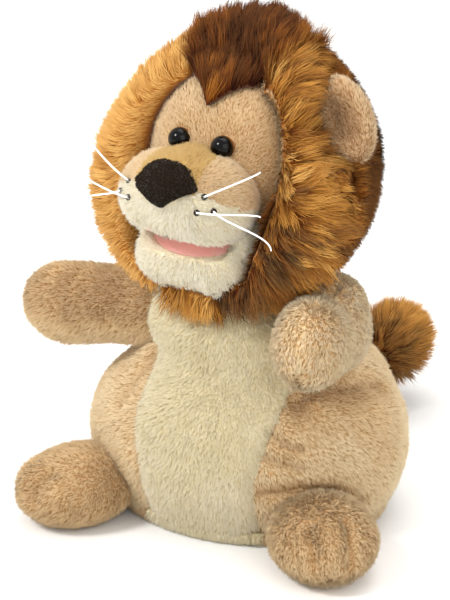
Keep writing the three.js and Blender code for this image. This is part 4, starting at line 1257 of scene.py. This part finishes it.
@dataclass
class Face(SubAssembly):
    """The tan face cloth over the stuffed head, sunk round the eyes."""

    core: Triple = (51.5, 45.5, 53.5)
    set_back: float = 4.0
    eye: tuple[float, float] = (12.5, 20.5)
    socket: float = 1.6
    cloth: float = 3.0

    def _outline(self, angle: Array) -> Array:
        """How far the face reaches from its middle, by angle from the side."""
        lobes = 47.0 - 9.0 * bell(angle - math.pi / 2, 0.28)
        reach = 43.0 + (lobes - 43.0) * ramp(0.0, 0.9, np.sin(angle))
        return reach + 4.0 - 3.0 * ramp(0.2, 0.9, -np.sin(angle))

    def _near_eyes(self, x: Array, z: Array, spread: float) -> Array:
        """A hump at each eye, seen from the front; spread is in square millimetres."""
        return sum(
            np.exp(-(((x - sign * self.eye[0]) ** 2 + (z - self.eye[1]) ** 2) / spread)) for sign in (-1, 1)
        )

    def _clear_of_eyes(self, points: Array, normals: Array) -> Array:
        """Share of the pile that stays, by distance from the eyes."""
        x, _, z = HEAD.back(points).T
        gap = np.min([np.hypot(x - sign * self.eye[0], z - self.eye[1]) for sign in (-1, 1)], axis=0)
        return ramp(4.2, 6.2, gap)

    def _shade(self, points: Array, normals: Array) -> Array:
        """Soft patches, with painted light and shade: lighter on the puppet's right and darker on its left,
        in the shade of the mane, and darker round the eyes.
        """
        x, _, z = HEAD.back(points).T
        lit = 0.12 * ramp(10.0, -35.0, x) - 0.35 * ramp(12.0, 36.0, x)
        return mottled(seed=91)(points, normals) + lit - 0.25 * self._near_eyes(x, z, 90.0)

    @staticmethod
    def _radiating(points: Array, normals: Array) -> Array:
        """The pile runs away from the face's middle, seen from the front."""
        away = HEAD.back(points) - np.array([0.0, 0.0, -4.0])
        away[:, 1] = 0.0
        return HEAD.aim(unit(away))

    def build(self) -> None:
        """Make the face cloth and its pile."""
        angle, share = around(120), np.linspace(0.04, 1.0, 60)
        reach = share[:, None] * self._outline(angle)[None]
        x, z = reach * np.cos(angle)[None], reach * np.sin(angle)[None]
        a, b, c = self.core
        inside = np.maximum(1.0 - (x / a) ** 2 - (z / c) ** 2, 0.0)
        y = self.set_back - b * np.sqrt(inside) + self.socket * self._near_eyes(x, z, 60.0)
        points = HEAD.out(np.stack([x, y, z], axis=-1))
        cloth = grid_object("face_cloth", uneven(points, 12.0, 9))
        if sum(p.normal.y for p in cloth.data.polygons) > 0:
            cloth.data.flip_normals()
        fur = FACE_SHORT.grow("face_pile", Skin(cloth), self._radiating, self._shade, 92, self._clear_of_eyes)
        modify(cloth, "SOLIDIFY", thickness=self.cloth * MM, offset=-1.0)
        self.add(cloth, FACE_BACKING, Body.HEAD, "tan_plush", ("face_panel", "head_filling"), 0.8)
        self.add(fur, FACE_PILE, Body.HEAD, "tan_plush")


@dataclass
class Muzzle(SubAssembly):
    """The stuffed muzzle: cream cheeks and lip, tan side patches, golden bridge, felt nose and whiskers.

    nose is height and half width of the nose pad. whiskers are rise and curl of each side's threads.
    """

    middle: Triple = (0.0, -44.0, 0.0)
    lobes: tuple = (
        ((-15.0, -48.0, -4.0), (21.0, 21.0, 20.5)),
        ((15.0, -48.0, -4.0), (21.0, 21.0, 20.5)),
        ((0.0, -46.0, 6.0), (16.5, 26.5, 14.5)),
        ((0.0, -47.0, -10.0), (17.0, 20.0, 16.0)),
    )
    front: float = -66.0
    roof: float = -16.5
    lip: float = 4.2
    nose: tuple = (
        (-2.5, 0.0), (0.0, 3.6), (3.0, 9.8), (6.0, 13.0), (9.0, 15.0), (11.0, 12.0), (13.0, 8.0), (14.5, 0.0),
    )
    whiskers: tuple = ((0.56, 0.1), (0.08, -0.2), (-0.5, -0.75))
    whisker_length: float = 33.0

    def _zones(self, points: Array) -> tuple[Array, Array, Array]:
        """Shares of golden bridge, tan patch and cream lip at each point."""
        local = HEAD.back(points)
        x, behind, z = np.abs(local[:, 0]), local[:, 1] - self.front, local[:, 2]
        bridge = ramp(0.8, -0.8, x - 16.0 + 0.1 * behind) * ramp(5.0, 6.5, z)
        from_nose = np.hypot(np.maximum(x - 15.0, 0.0), np.maximum(behind, 0.0))
        beside = ramp(14.0, 15.5, x + 0.1 * behind)
        tan = ramp(-0.8, 0.8, z - 7.5 + 0.38 * from_nose) * beside * (1.0 - bridge)
        return bridge, tan, (1.0 - bridge) * (1.0 - tan)

    def _open(self, points: Array) -> Array:
        """Share of the pile that stays: none behind, inside the lip or under the nose pad."""
        x, y, z = HEAD.back(points).T
        half = np.interp(z, *np.array(self.nose).T, left=-9.0, right=-9.0)
        under_nose = ramp(0.4, -0.8, np.abs(x) - half) * ramp(-54.0, -58.0, y)
        return ramp(-12.0, -16.0, y + 14.0) * ramp(-20.6, -19.6, z) * (1.0 - under_nose)

    @staticmethod
    def _away(points: Array, normals: Array) -> Array:
        """The pile runs away from the nose and back over the cheeks."""
        away = HEAD.back(points) - np.array([0.0, -68.0, 6.0])
        away[:, 1] = 0.7 * np.abs(away[:, 1])
        return HEAD.aim(unit(away) + np.array([0.0, 0.2, -0.25]))

    def build(self) -> None:
        """Make the muzzle's cloth, pile, nose and whiskers."""
        points = lobed_points(self.middle, self.lobes, 64, 96, 3.0, pole="Y")
        x, y, z = (points[..., axis] for axis in range(3))
        inner = np.hypot(x / 31.0, (y + 46.0) / 23.0)
        gape = 4.4 * bell(x + 15.0, 9.5) + 0.8 * bell(x - 10.0, 9.0)
        low = self.roof - self.lip * ramp(0.62, 0.8, inner) + gape - 2.0 * ramp(20.0, 27.0, x)
        points = HEAD.out(np.stack([x, y, np.maximum(z, low)], axis=-1))
        cloth = grid_object("muzzle_cloth", uneven(points, 11.0, 13), capped=True)
        nodes = ("muzzle_cheeks", "muzzle_bridge")
        self.add(cloth, CREAM_BACKING, Body.HEAD, "cream_plush", nodes, 0.85)
        skin = Skin(cloth)
        plan = (
            ("bridge_pile", 7.5, 101, BRIDGE_PILE, "golden_plush"),
            ("cheek_patch_pile", 5.0, 103, FACE_PILE, "tan_plush"),
            ("lip_pile", FACE_SHORT.density, 105, CHEEK_PILE, "cream_plush"),
        )
        for zone, (name, density, seed, finish, slot) in enumerate(plan):
            pile, shade = replace(FACE_SHORT, density=density), mottled(seed=seed)
            fur = pile.grow(
                name, skin, self._away, shade, seed + 1, lambda p, n: self._zones(p)[zone] * self._open(p)
            )
            self.add(fur, finish, Body.HEAD, slot)
        self._nose()
        self._whiskers()

    def _nose(self) -> None:
        """The felt nose pad, drawn out at its corners, with its fuzz."""
        pad = cad_copy("nose_felt", "nose_pad", 0.6, 3)
        x, y, z = HEAD.back(from_world(vertex_values(pad.data, pad.data.vertices, "co"))).T
        right = 2.6 * bell(z - 8.0, 3.2) * ramp(6.0, 15.0, x)
        drawn = x + (right - 2.6 * bell(z - 4.0, 3.6) * ramp(0.0, -8.0, x))
        moved = np.stack([drawn, y - 1.8 * ramp(6.0, 15.0, np.abs(x)), z], axis=1)
        pad.data.vertices.foreach_set("co", to_world(HEAD.out(moved)).astype(np.float32).ravel())
        pad.data.update()
        fuzz = Pile(0.8, 0.4, 6.0, 0.5, jitter=0.3)
        hair = fuzz.grow("nose_fuzz", Skin(pad), self._away, mottled(0.45, seed=107), 108)
        self.add(pad, NOSE_FELT, Body.HEAD, "dark_felt", ("nose_pad",))
        self.add(hair, NOSE_PILE, Body.HEAD, "dark_felt")

    def _whiskers(self) -> None:
        """A thread whisker from each stitched dot."""
        for side in Side:
            for number, (rise, curl) in enumerate(self.whiskers, 1):
                low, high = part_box(f"{side.word}_whisker_dot_{number}")
                start = HEAD.back(from_world((np.array(low) + np.array(high)) / 2))
                out = unit(np.array([side.value * 1.0, 0.15, rise]))
                tip = start + self.whisker_length * out
                bow = start + np.array([0.0, -4.0, 0.0]) + 10.0 * out
                path = curve_points([start, bow, tip + np.array([0.0, 0.0, -10.0 * curl]), tip], 24)
                tube = tube_points(HEAD.out(path), np.linspace(0.5, 0.36, 24), 8)
                whisker = grid_object(f"{side.word}_whisker_thread_{number}", tube, capped=True)
                nodes = (f"{side.word}_whisker_{number}",)
                self.add(whisker, WHISKER_THREAD, Body.HEAD, "whisker_thread", nodes)


@dataclass
class Jaw(SubAssembly):
    """The stuffed lower jaw, broad at the chin, with corners that rise behind the mouth."""

    middle: Triple = (0.0, -38.0, -34.0)
    lobes: tuple = (
        ((-11.0, -40.0, -33.0), (18.5, 17.0, 17.5)),
        ((11.0, -40.0, -33.0), (18.5, 17.0, 17.5)),
        ((0.0, -41.0, -38.0), (20.0, 17.0, 12.5)),
        ((-17.0, -41.0, -37.0), (13.0, 15.0, 13.0)),
        ((17.0, -41.0, -37.0), (13.0, 15.0, 13.0)),
        ((-28.0, -35.0, -23.5), (6.0, 10.0, 10.0)),
        ((26.0, -36.0, -23.0), (7.5, 11.0, 11.0)),
    )
    lip: float = 5.0
    hinge: tuple[float, float] = (-34.0, -24.5)
    drop: float = 17.0
    left_corner: tuple[float, float] = (23.5, 26.5)
    right_corner: tuple[float, float] = (25.5, 28.5)
    corner_rise: float = 14.0

    @staticmethod
    def _from_middle(x: Array, y: Array) -> Array:
        """Distance from the mouth's middle, 1 at its rim."""
        return np.hypot(x / 29.0, (y + 37.0) / 21.0)

    def _chin(self, points: Array, normals: Array) -> Array:
        """Share of the pile: none inside the mouth or behind."""
        x, y, _ = HEAD.back(points).T
        outer = np.maximum(ramp(0.9, 0.6, normals[:, 2]), ramp(0.86, 0.94, self._from_middle(x, y)))
        return outer * ramp(0.7, 0.3, HEAD.unaim(normals)[:, 1])

    @staticmethod
    def _trim(points: Array, normals: Array) -> Array:
        """Share of the pile's length: short on the lip."""
        return 1.0 - 0.5 * ramp(0.5, 0.9, normals[:, 2])

    @staticmethod
    def _flow(points: Array, normals: Array) -> Array:
        """The pile runs away from the mouth and down."""
        local = HEAD.back(points) - np.array([0.0, -50.0, -22.0])
        return HEAD.aim(unit(local) + np.array([0.0, 0.2, -0.6]))

    def build(self) -> None:
        """Make the jaw and its pile."""
        points = lobed_points(self.middle, self.lobes, 60, 96, 4.0)
        x, y, z = (points[..., axis] for axis in range(3))
        fall = math.tan(math.radians(self.drop)) * np.maximum(self.hinge[0] - y, -8.0)
        lid = self.hinge[1] - fall + 0.8 - self.lip * ramp(0.9, 0.72, self._from_middle(x, y))
        corner = ramp(*self.left_corner, x) + ramp(*self.right_corner, -x)
        lid = lid * (1.0 - corner) + (lid + self.corner_rise) * corner
        points = HEAD.out(np.stack([x, y, np.minimum(z, lid)], axis=-1))
        cloth = grid_object("lower_jaw_cloth", uneven(points, 11.0, 15), capped=True)
        shade = mottled(seed=111)
        fur = FACE_SHORT.grow("lower_jaw_pile", Skin(cloth), self._flow, shade, 112, self._chin, self._trim)
        self.add(cloth, CREAM_BACKING, Body.JAW, "cream_plush", ("lower_jaw",), 0.85)
        self.add(fur, CHEEK_PILE, Body.JAW, "cream_plush")


@dataclass
class Eyes(SubAssembly):
    """Two glossy plastic eyes that look ahead."""

    radius: float = 5.75

    def build(self) -> None:
        """Make the eyes, with their pole to the front."""
        for side in Side:
            low, high = (np.array(corner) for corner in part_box(f"{side.word}_eye"))
            centre = ((low[0] + high[0]) / 2, low[1] + self.radius * MM, (low[2] + high[2]) / 2)
            bpy.ops.object.select_all(action="DESELECT")
            bpy.ops.mesh.primitive_uv_sphere_add(segments=48, ring_count=32, radius=self.radius * MM)
            eye = bpy.context.object
            eye.name = eye.data.name = f"{side.word}_eye_gloss"
            for axis, turn in (("X", -90.0), ("Z", -HEAD_TURN)):
                bpy.ops.transform.rotate(
                    value=math.radians(turn), orient_axis=axis, center_override=(0.0, 0.0, 0.0)
                )
            bpy.ops.transform.translate(value=centre)
            bpy.ops.object.transform_apply(location=True, rotation=True, scale=True)
            bpy.ops.object.shade_smooth()
            self.add(eye, EYE_GLOSS, Body.HEAD, "eye_plastic", (f"{side.word}_eye",))


@dataclass
class Ears(SubAssembly):
    """Two cupped ears, tan, with painted shade inside: the left one stands, the right one lies back."""

    half: Triple = (15.0, 5.5, 21.0)
    centre: Triple = (59.0, -2.5, 33.0)
    lean: float = 20.0
    right_fold: float = 60.0
    cup: float = 4.5

    def _own(self, side: Side, points: Array, inverse: bool = False) -> Array:
        """Fold, lean and place points of an ear in the head's frame, or undo that."""
        lean = math.radians(-side.value * self.lean)
        fold = math.radians(-self.right_fold if side is Side.RIGHT else 0.0)
        c, s = math.cos(lean), math.sin(lean)
        leaning = np.array([[c, 0.0, s], [0.0, 1.0, 0.0], [-s, 0.0, c]])
        c, s = math.cos(fold), math.sin(fold)
        turn = leaning @ np.array([[1.0, 0.0, 0.0], [0.0, c, -s], [0.0, s, c]])
        rise = np.array([0.0, 0.0, self.half[2]])
        tilt = math.radians(self.lean)
        stem = np.array([side.value * math.sin(tilt), 0.0, -math.cos(tilt)])
        root = np.array(self.centre) * np.array([side.value, 1.0, 1.0]) + self.half[2] * stem
        return (points - root) @ turn - rise if inverse else (points + rise) @ turn.T + root

    def clear(self, points: Array) -> Array:
        """Share of the mane's length that stays near the left ear, which it parts round."""
        local = self._own(Side.LEFT, HEAD.back(points), inverse=True)
        gap = np.hypot(local[:, 0] / self.half[0], local[:, 2] / self.half[2])
        outer = ramp(-0.9, -0.1, local[:, 0] / self.half[0])
        return 1.0 - 0.75 * ramp(1.6, 1.1, gap) * ramp(30.0, 18.0, local[:, 1]) * outer

    def build(self) -> None:
        """Make the ears and their pile."""
        for side in Side:
            points = lobed_points((0, 0, 0), [((0, 0, 0), self.half)], 40, 56, 1.0, pole="Y")
            x, y, z = (points[..., axis] for axis in range(3))
            inner = np.sqrt((x / self.half[0]) ** 2 + (z / self.half[2]) ** 2)
            y = np.where(y < 0, y + self.cup * (1.0 - ramp(0.2, 0.9, inner)), y)
            points = HEAD.out(self._own(side, np.stack([x, y, z], axis=-1)))
            ear = grid_object(f"{side.word}_ear_cloth", points, capped=True)
            base = HEAD.out(self._own(side, np.array([[0.0, 0.0, -self.half[2]]])))[0]
            name, shade = f"{side.word}_ear_pile", self._shade(side)
            fur = FACE_SHORT.grow(name, Skin(ear), lambda p, n: unit(p - base), shade, 122 + side.value)
            self.add(ear, EAR_BACKING, Body.HEAD, "golden_plush", (f"{side.word}_ear",), 0.5)
            self.add(fur, EAR_PILE, Body.HEAD, "golden_plush")

    def _shade(self, side: Side) -> Field:
        """Light at the rim and behind, with painted shade in the ear's hollow."""

        def shade(roots: Array, normals: Array) -> Array:
            local = self._own(side, HEAD.back(roots), inverse=True)
            inside = np.sqrt((local[:, 0] / self.half[0]) ** 2 + (local[:, 2] / self.half[2]) ** 2)
            # painted shade in the hollow
            hollow = ramp(1.0, 0.3, inside) * (HEAD.unaim(normals)[:, 1] < 0.0)
            return 0.85 - 0.4 * hollow + 0.12 * noise(roots, 6.0, 121)

        return shade


@dataclass
class Mane(SubAssembly):
    """The long-haired mane round the face and the dense brown pile behind it."""

    ears: Ears
    core: Triple = (50.0, 45.0, 52.0)
    set_back: float = 4.0

    def _local(self, points: Array) -> Array:
        """Points from the middle of the stuffed head."""
        return HEAD.back(points) - np.array([0.0, self.set_back, 0.0])

    def _depth(self, points: Array) -> Array:
        """Distance from the head's middle, 1 on the stuffed head."""
        return np.linalg.norm(self._local(points) / np.array(self.core), axis=1)

    def _rooted(self, points: Array, normals: Array) -> Array:
        """Share of the hair that grows: none on the side that lies on the head."""
        facing = (HEAD.unaim(normals) * unit(self._local(points))).sum(axis=1)
        return 1.0 - ramp(1.14, 1.06, self._depth(points)) * ramp(0.1, -0.3, facing)

    def _away(self, points: Array) -> Array:
        """Directions away from the face's middle, seen from the front."""
        return unit(self._local(points) * np.array([1.0, 0.0, 1.0]))

    def _inner(self, points: Array, normals: Array) -> Array:
        """How far a place looks inward, to the face."""
        return ramp(0.1, -0.5, (HEAD.unaim(normals) * self._away(points)).sum(axis=1))

    def _hem(self, points: Array, normals: Array) -> Array:
        """Share of the face's plush at a place: it laps up the foot of the mane's inner side."""
        return ramp(1.24, 1.16, self._depth(points)) * ramp(0.1, 0.4, self._inner(points, normals))

    def _trim(self, points: Array, normals: Array) -> Array:
        """Share of the hair's length: shorter at the ear and on the inner side, most so at the jaw."""
        cut = 0.45 + 0.25 * ramp(-10.0, -22.0, self._local(points)[:, 2])
        return self.ears.clear(points) * (1.0 - self._inner(points, normals) * cut)

    def _flow(self, backward: float, drop: float, unruly: float) -> Field:
        """Hair combed away from the face, and to the front on the inner side."""

        def flow(points: Array, normals: Array) -> Array:
            inner = self._inner(points, normals)[:, None]
            stray = np.stack([noise(points, 12.0, 151 + axis) for axis in range(3)], axis=1)
            out = self._away(points) + np.array([0.0, backward, -drop]) + unruly * stray
            return HEAD.aim(out * (1.0 - inner) + np.array([0.0, -1.0, 0.0]) * inner)

        return flow

    def _tint(self, middle: Callable[..., Array], seed: int) -> Field:
        """Shade by place in the head's frame, with soft drift, and painted light on the inner side, which
        lies in shade.
        """

        def tint(points: Array, normals: Array) -> Array:
            drift = 0.12 * noise(points, 14.0, seed) + 0.1 * noise(points, 5.0, seed + 1)
            return middle(*HEAD.back(points).T) + drift + 0.12 * self._inner(points, normals)

        return tint

    @staticmethod
    def _left_shade(x: Array, y: Array, z: Array) -> Array:
        """Lighter outside; near the face, painted light above and painted shade beside the jaw."""
        near = ramp(66.0, 52.0, np.hypot(x, z))
        return 0.6 + (0.16 * ramp(0.0, 15.0, z) - 0.42 * ramp(8.0, -22.0, z)) * near

    @staticmethod
    def _crown_shade(x: Array, y: Array, z: Array) -> Array:
        """Dark in the middle, lighter to the sides, the back and the forelock's tip."""
        sides = 0.38 * ramp(14.0, 30.0, np.abs(x))
        return 0.12 + 0.42 * ramp(6.0, 30.0, y) + sides + 0.22 * ramp(-18.0, -40.0, y)

    def build(self) -> None:
        """Make the mane's cloths and hair."""
        long = Pile(
            9.0, 0.5, 2.6, 0.1, segments=3, jitter=0.1, vary=0.35, lock_size=3.0, gather=0.25, wave=0.02
        )
        wavy = replace(
            long, length=13.5, density=2.3, rise=0.2, jitter=0.2, vary=0.45, gather=0.42, wave=0.05,
            droop=0.1, lock_speckle=0.32,
        )
        fine = replace(long, lock_speckle=0.12)
        upright = replace(long, length=11.0, rise=0.32, jitter=0.14, vary=0.5, gather=0.4)
        hanging = replace(
            long, length=14.0, rise=0.22, jitter=0.12, vary=0.3, lock_size=3.5, wave=0.03, droop=0.1
        )
        bristle = Pile(5.5, 0.6, 2.0, 0.5, segments=2, jitter=0.22, vary=0.3, lock_size=2.5, gather=0.3)
        golden, brown = "golden_long_pile", "brown_pile"
        plan = (
            ("mane_left", wavy, (0.5, 0.1, 0.62), GOLDEN_BACKING, MANE_PILE, golden, self._left_shade),
            ("mane_right", fine, (0.8, 0.1, 0.15), GOLDEN_BACKING, FINE_PILE, golden,
             lambda x, y, z: 0.88 - 0.14 * ramp(45.0, 62.0, z)),
            ("mane_crown", upright, (0.5, 0.0, 0.15), BROWN_BACKING, CROWN_PILE, brown, self._crown_shade),
            ("mane_beard", hanging, (0.1, 0.6, 0.25), GOLDEN_BACKING, MANE_PILE, golden,
             lambda x, y, z: 0.7 + 0.0 * z),
            ("head_back_panel", bristle, (0.4, 0.4, 0.3), BROWN_BACKING, BACK_PILE, brown,
             lambda x, y, z: 0.45 + 0.4 * ramp(20.0, 55.0, z)),
        )
        for index, (node, pile, combed, backing, finish, slot, middle) in enumerate(plan):
            base = cad_copy(f"{node}_base", node, 2.2, 10)
            skin, flow, tint = Skin(base), self._flow(*combed), self._tint(middle, 131 + 2 * index)
            lapped = node != "mane_right"
            hair = pile.grow(
                f"{node}_hair", skin, flow, tint, 141 + index,
                lambda p, n: self._rooted(p, n) * (1.0 - lapped * self._hem(p, n)), self._trim,
            )
            self.add(base, backing, Body.HEAD, slot, (node,), 0.8)
            self.add(hair, finish, Body.HEAD, slot)
            if node == "mane_left":
                # the face's plush on the mane's foot is set darker: painted shade where the face meets the
                # mane
                edge = FACE_SHORT.grow("face_edge_pile", skin, flow, mottled(0.35, seed=161), 162, self._hem)
                self.add(edge, FACE_EDGE_PILE, Body.HEAD, "tan_plush")


class Trim:
    """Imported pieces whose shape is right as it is: boards, felts, washers and dots."""

    def dress(self) -> None:
        """Give each its finish."""
        finishes = {
            "palate_board": BOARD,
            "jaw_board": BOARD,
            "palate_felt": PINK_FELT,
            "mouth_floor_felt": PINK_FELT,
        }
        for side in Side:
            finishes[f"{side.word}_eye_washer"] = WASHER
            for number in (1, 2, 3):
                finishes[f"{side.word}_whisker_dot_{number}"] = DOT_THREAD
        for node, finish in finishes.items():
            for slot in frame["nodes"][node].material_slots:
                slot.material = finish.material()


# Studio


@dataclass
class Studio:
    """Pale floor, soft light and the camera at the photograph's angle.

    lights are a name, an offset from the camera's target and a size in metres, and watts.
    """

    azimuth: float = 26.0
    elevation: float = 20.0
    distance: float = 1150.0
    target_height: float = 125.0
    focal_pixels: float = 2300.0
    image: tuple[int, int] = (450, 600)
    target_pixel: tuple[float, float] = (250.0, 268.5)
    sensor: float = 36.0
    lights: tuple = (
        ("key", (-0.9, -1.3, 1.5), 0.5, 27.0),
        ("fill", (1.4, -1.0, 0.9), 1.4, 10.0),
        ("top", (0.1, 0.5, 1.7), 1.4, 14.0),
    )

    def target(self) -> Vector:
        """The point on the body's axis that the camera is aimed by."""
        return Vector(to_world(np.array([0.0, 0.0, self.target_height])))

    def build(self) -> None:
        """Make the floor, the lights and the camera."""
        bpy.ops.object.select_all(action="DESELECT")
        bpy.ops.mesh.primitive_plane_add(size=8.0, location=(0.0, 0.0, 0.0))
        floor = bpy.context.object
        floor.name = "floor"
        paper = bpy.data.materials.new("floor_paper")
        paper.use_nodes = True
        shader = paper.node_tree.nodes["Principled BSDF"]
        told = {"Base Color": linear("#F7F7F5"), "Roughness": 0.9, "Specular IOR Level": 0.0}
        wire(paper.node_tree, shader, told)
        floor.data.materials.append(paper)
        self._world()
        for light in self.lights:
            self._light(*light)
        self._camera()

    def _world(self) -> None:
        """An even white surrounding."""
        world = bpy.data.worlds.new("studio")
        bpy.context.scene.world = world
        world.use_nodes = True
        told = {"Color": (1.0, 1.0, 1.0, 1.0), "Strength": 0.95}
        wire(world.node_tree, world.node_tree.nodes["Background"], told)
        bpy.context.scene.view_settings.view_transform = "Standard"

    def _light(self, name: str, offset: Triple, size: float, power: float) -> None:
        """A square soft light aimed at the puppet.

        Args:
            name: the light's name.
            offset: where it stands from the camera's target, in metres.
            size: its side in metres.
            power: in watts.
        """
        light = bpy.data.lights.new(name, "AREA")
        light.size = size
        light.energy = power
        lamp = new_object(name, light)
        lamp.location = self.target() + Vector(offset)
        lamp.rotation_euler = (self.target() - lamp.location).to_track_quat("-Z", "Y").to_euler()

    def _camera(self) -> None:
        """The photograph's camera, shifted so that the target falls on its pixel."""
        a, e = math.radians(self.azimuth), math.radians(self.elevation)
        away = Vector((math.sin(a) * math.cos(e), -math.cos(a) * math.cos(e), math.sin(e)))
        camera = bpy.data.cameras.new("camera")
        long_side = max(self.image)
        camera.sensor_width = self.sensor
        camera.lens = self.focal_pixels / long_side * self.sensor
        camera.shift_x = (self.image[0] / 2 - self.target_pixel[0]) / long_side
        camera.shift_y = (self.target_pixel[1] - self.image[1] / 2) / long_side
        holder = new_object("camera", camera)
        holder.location = self.target() + away * self.distance * MM
        holder.rotation_euler = (-away).to_track_quat("-Z", "Y").to_euler()
        bpy.context.scene.camera = holder


def main() -> None:
    """Build every sub-assembly, dress it and report."""
    logging.basicConfig(level=logging.INFO, format="%(name)s: %(message)s")
    Studio().build()
    torso, ears = Torso(), Ears()
    parts = [
        torso,
        Hem(torso),
        Neck(),
        # the left arm wears the paler copy of the tan pile: painted light
        Arm(Side.LEFT, (0.2, -0.94, 0.23), 0.75, LIT_TAN_PILE, lift=10.5),
        # the right arm is set darker, which is painted shade, and paler below, which is painted light
        Arm(Side.RIGHT, (-0.975, -0.21, -0.05), 0.16, pale_below=0.6),
        Foot(Side.LEFT),
        Foot(Side.RIGHT, shade=0.4),
        Tail(),
        Face(),
        Muzzle(),
        Jaw(),
        Eyes(),
        ears,
        Mane(ears),
    ]
    for part in parts:
        part.build()
        part.dress()
        LOG.info("built %s", type(part).__name__)
    Trim().dress()


if __name__ == "__main__":
    main()
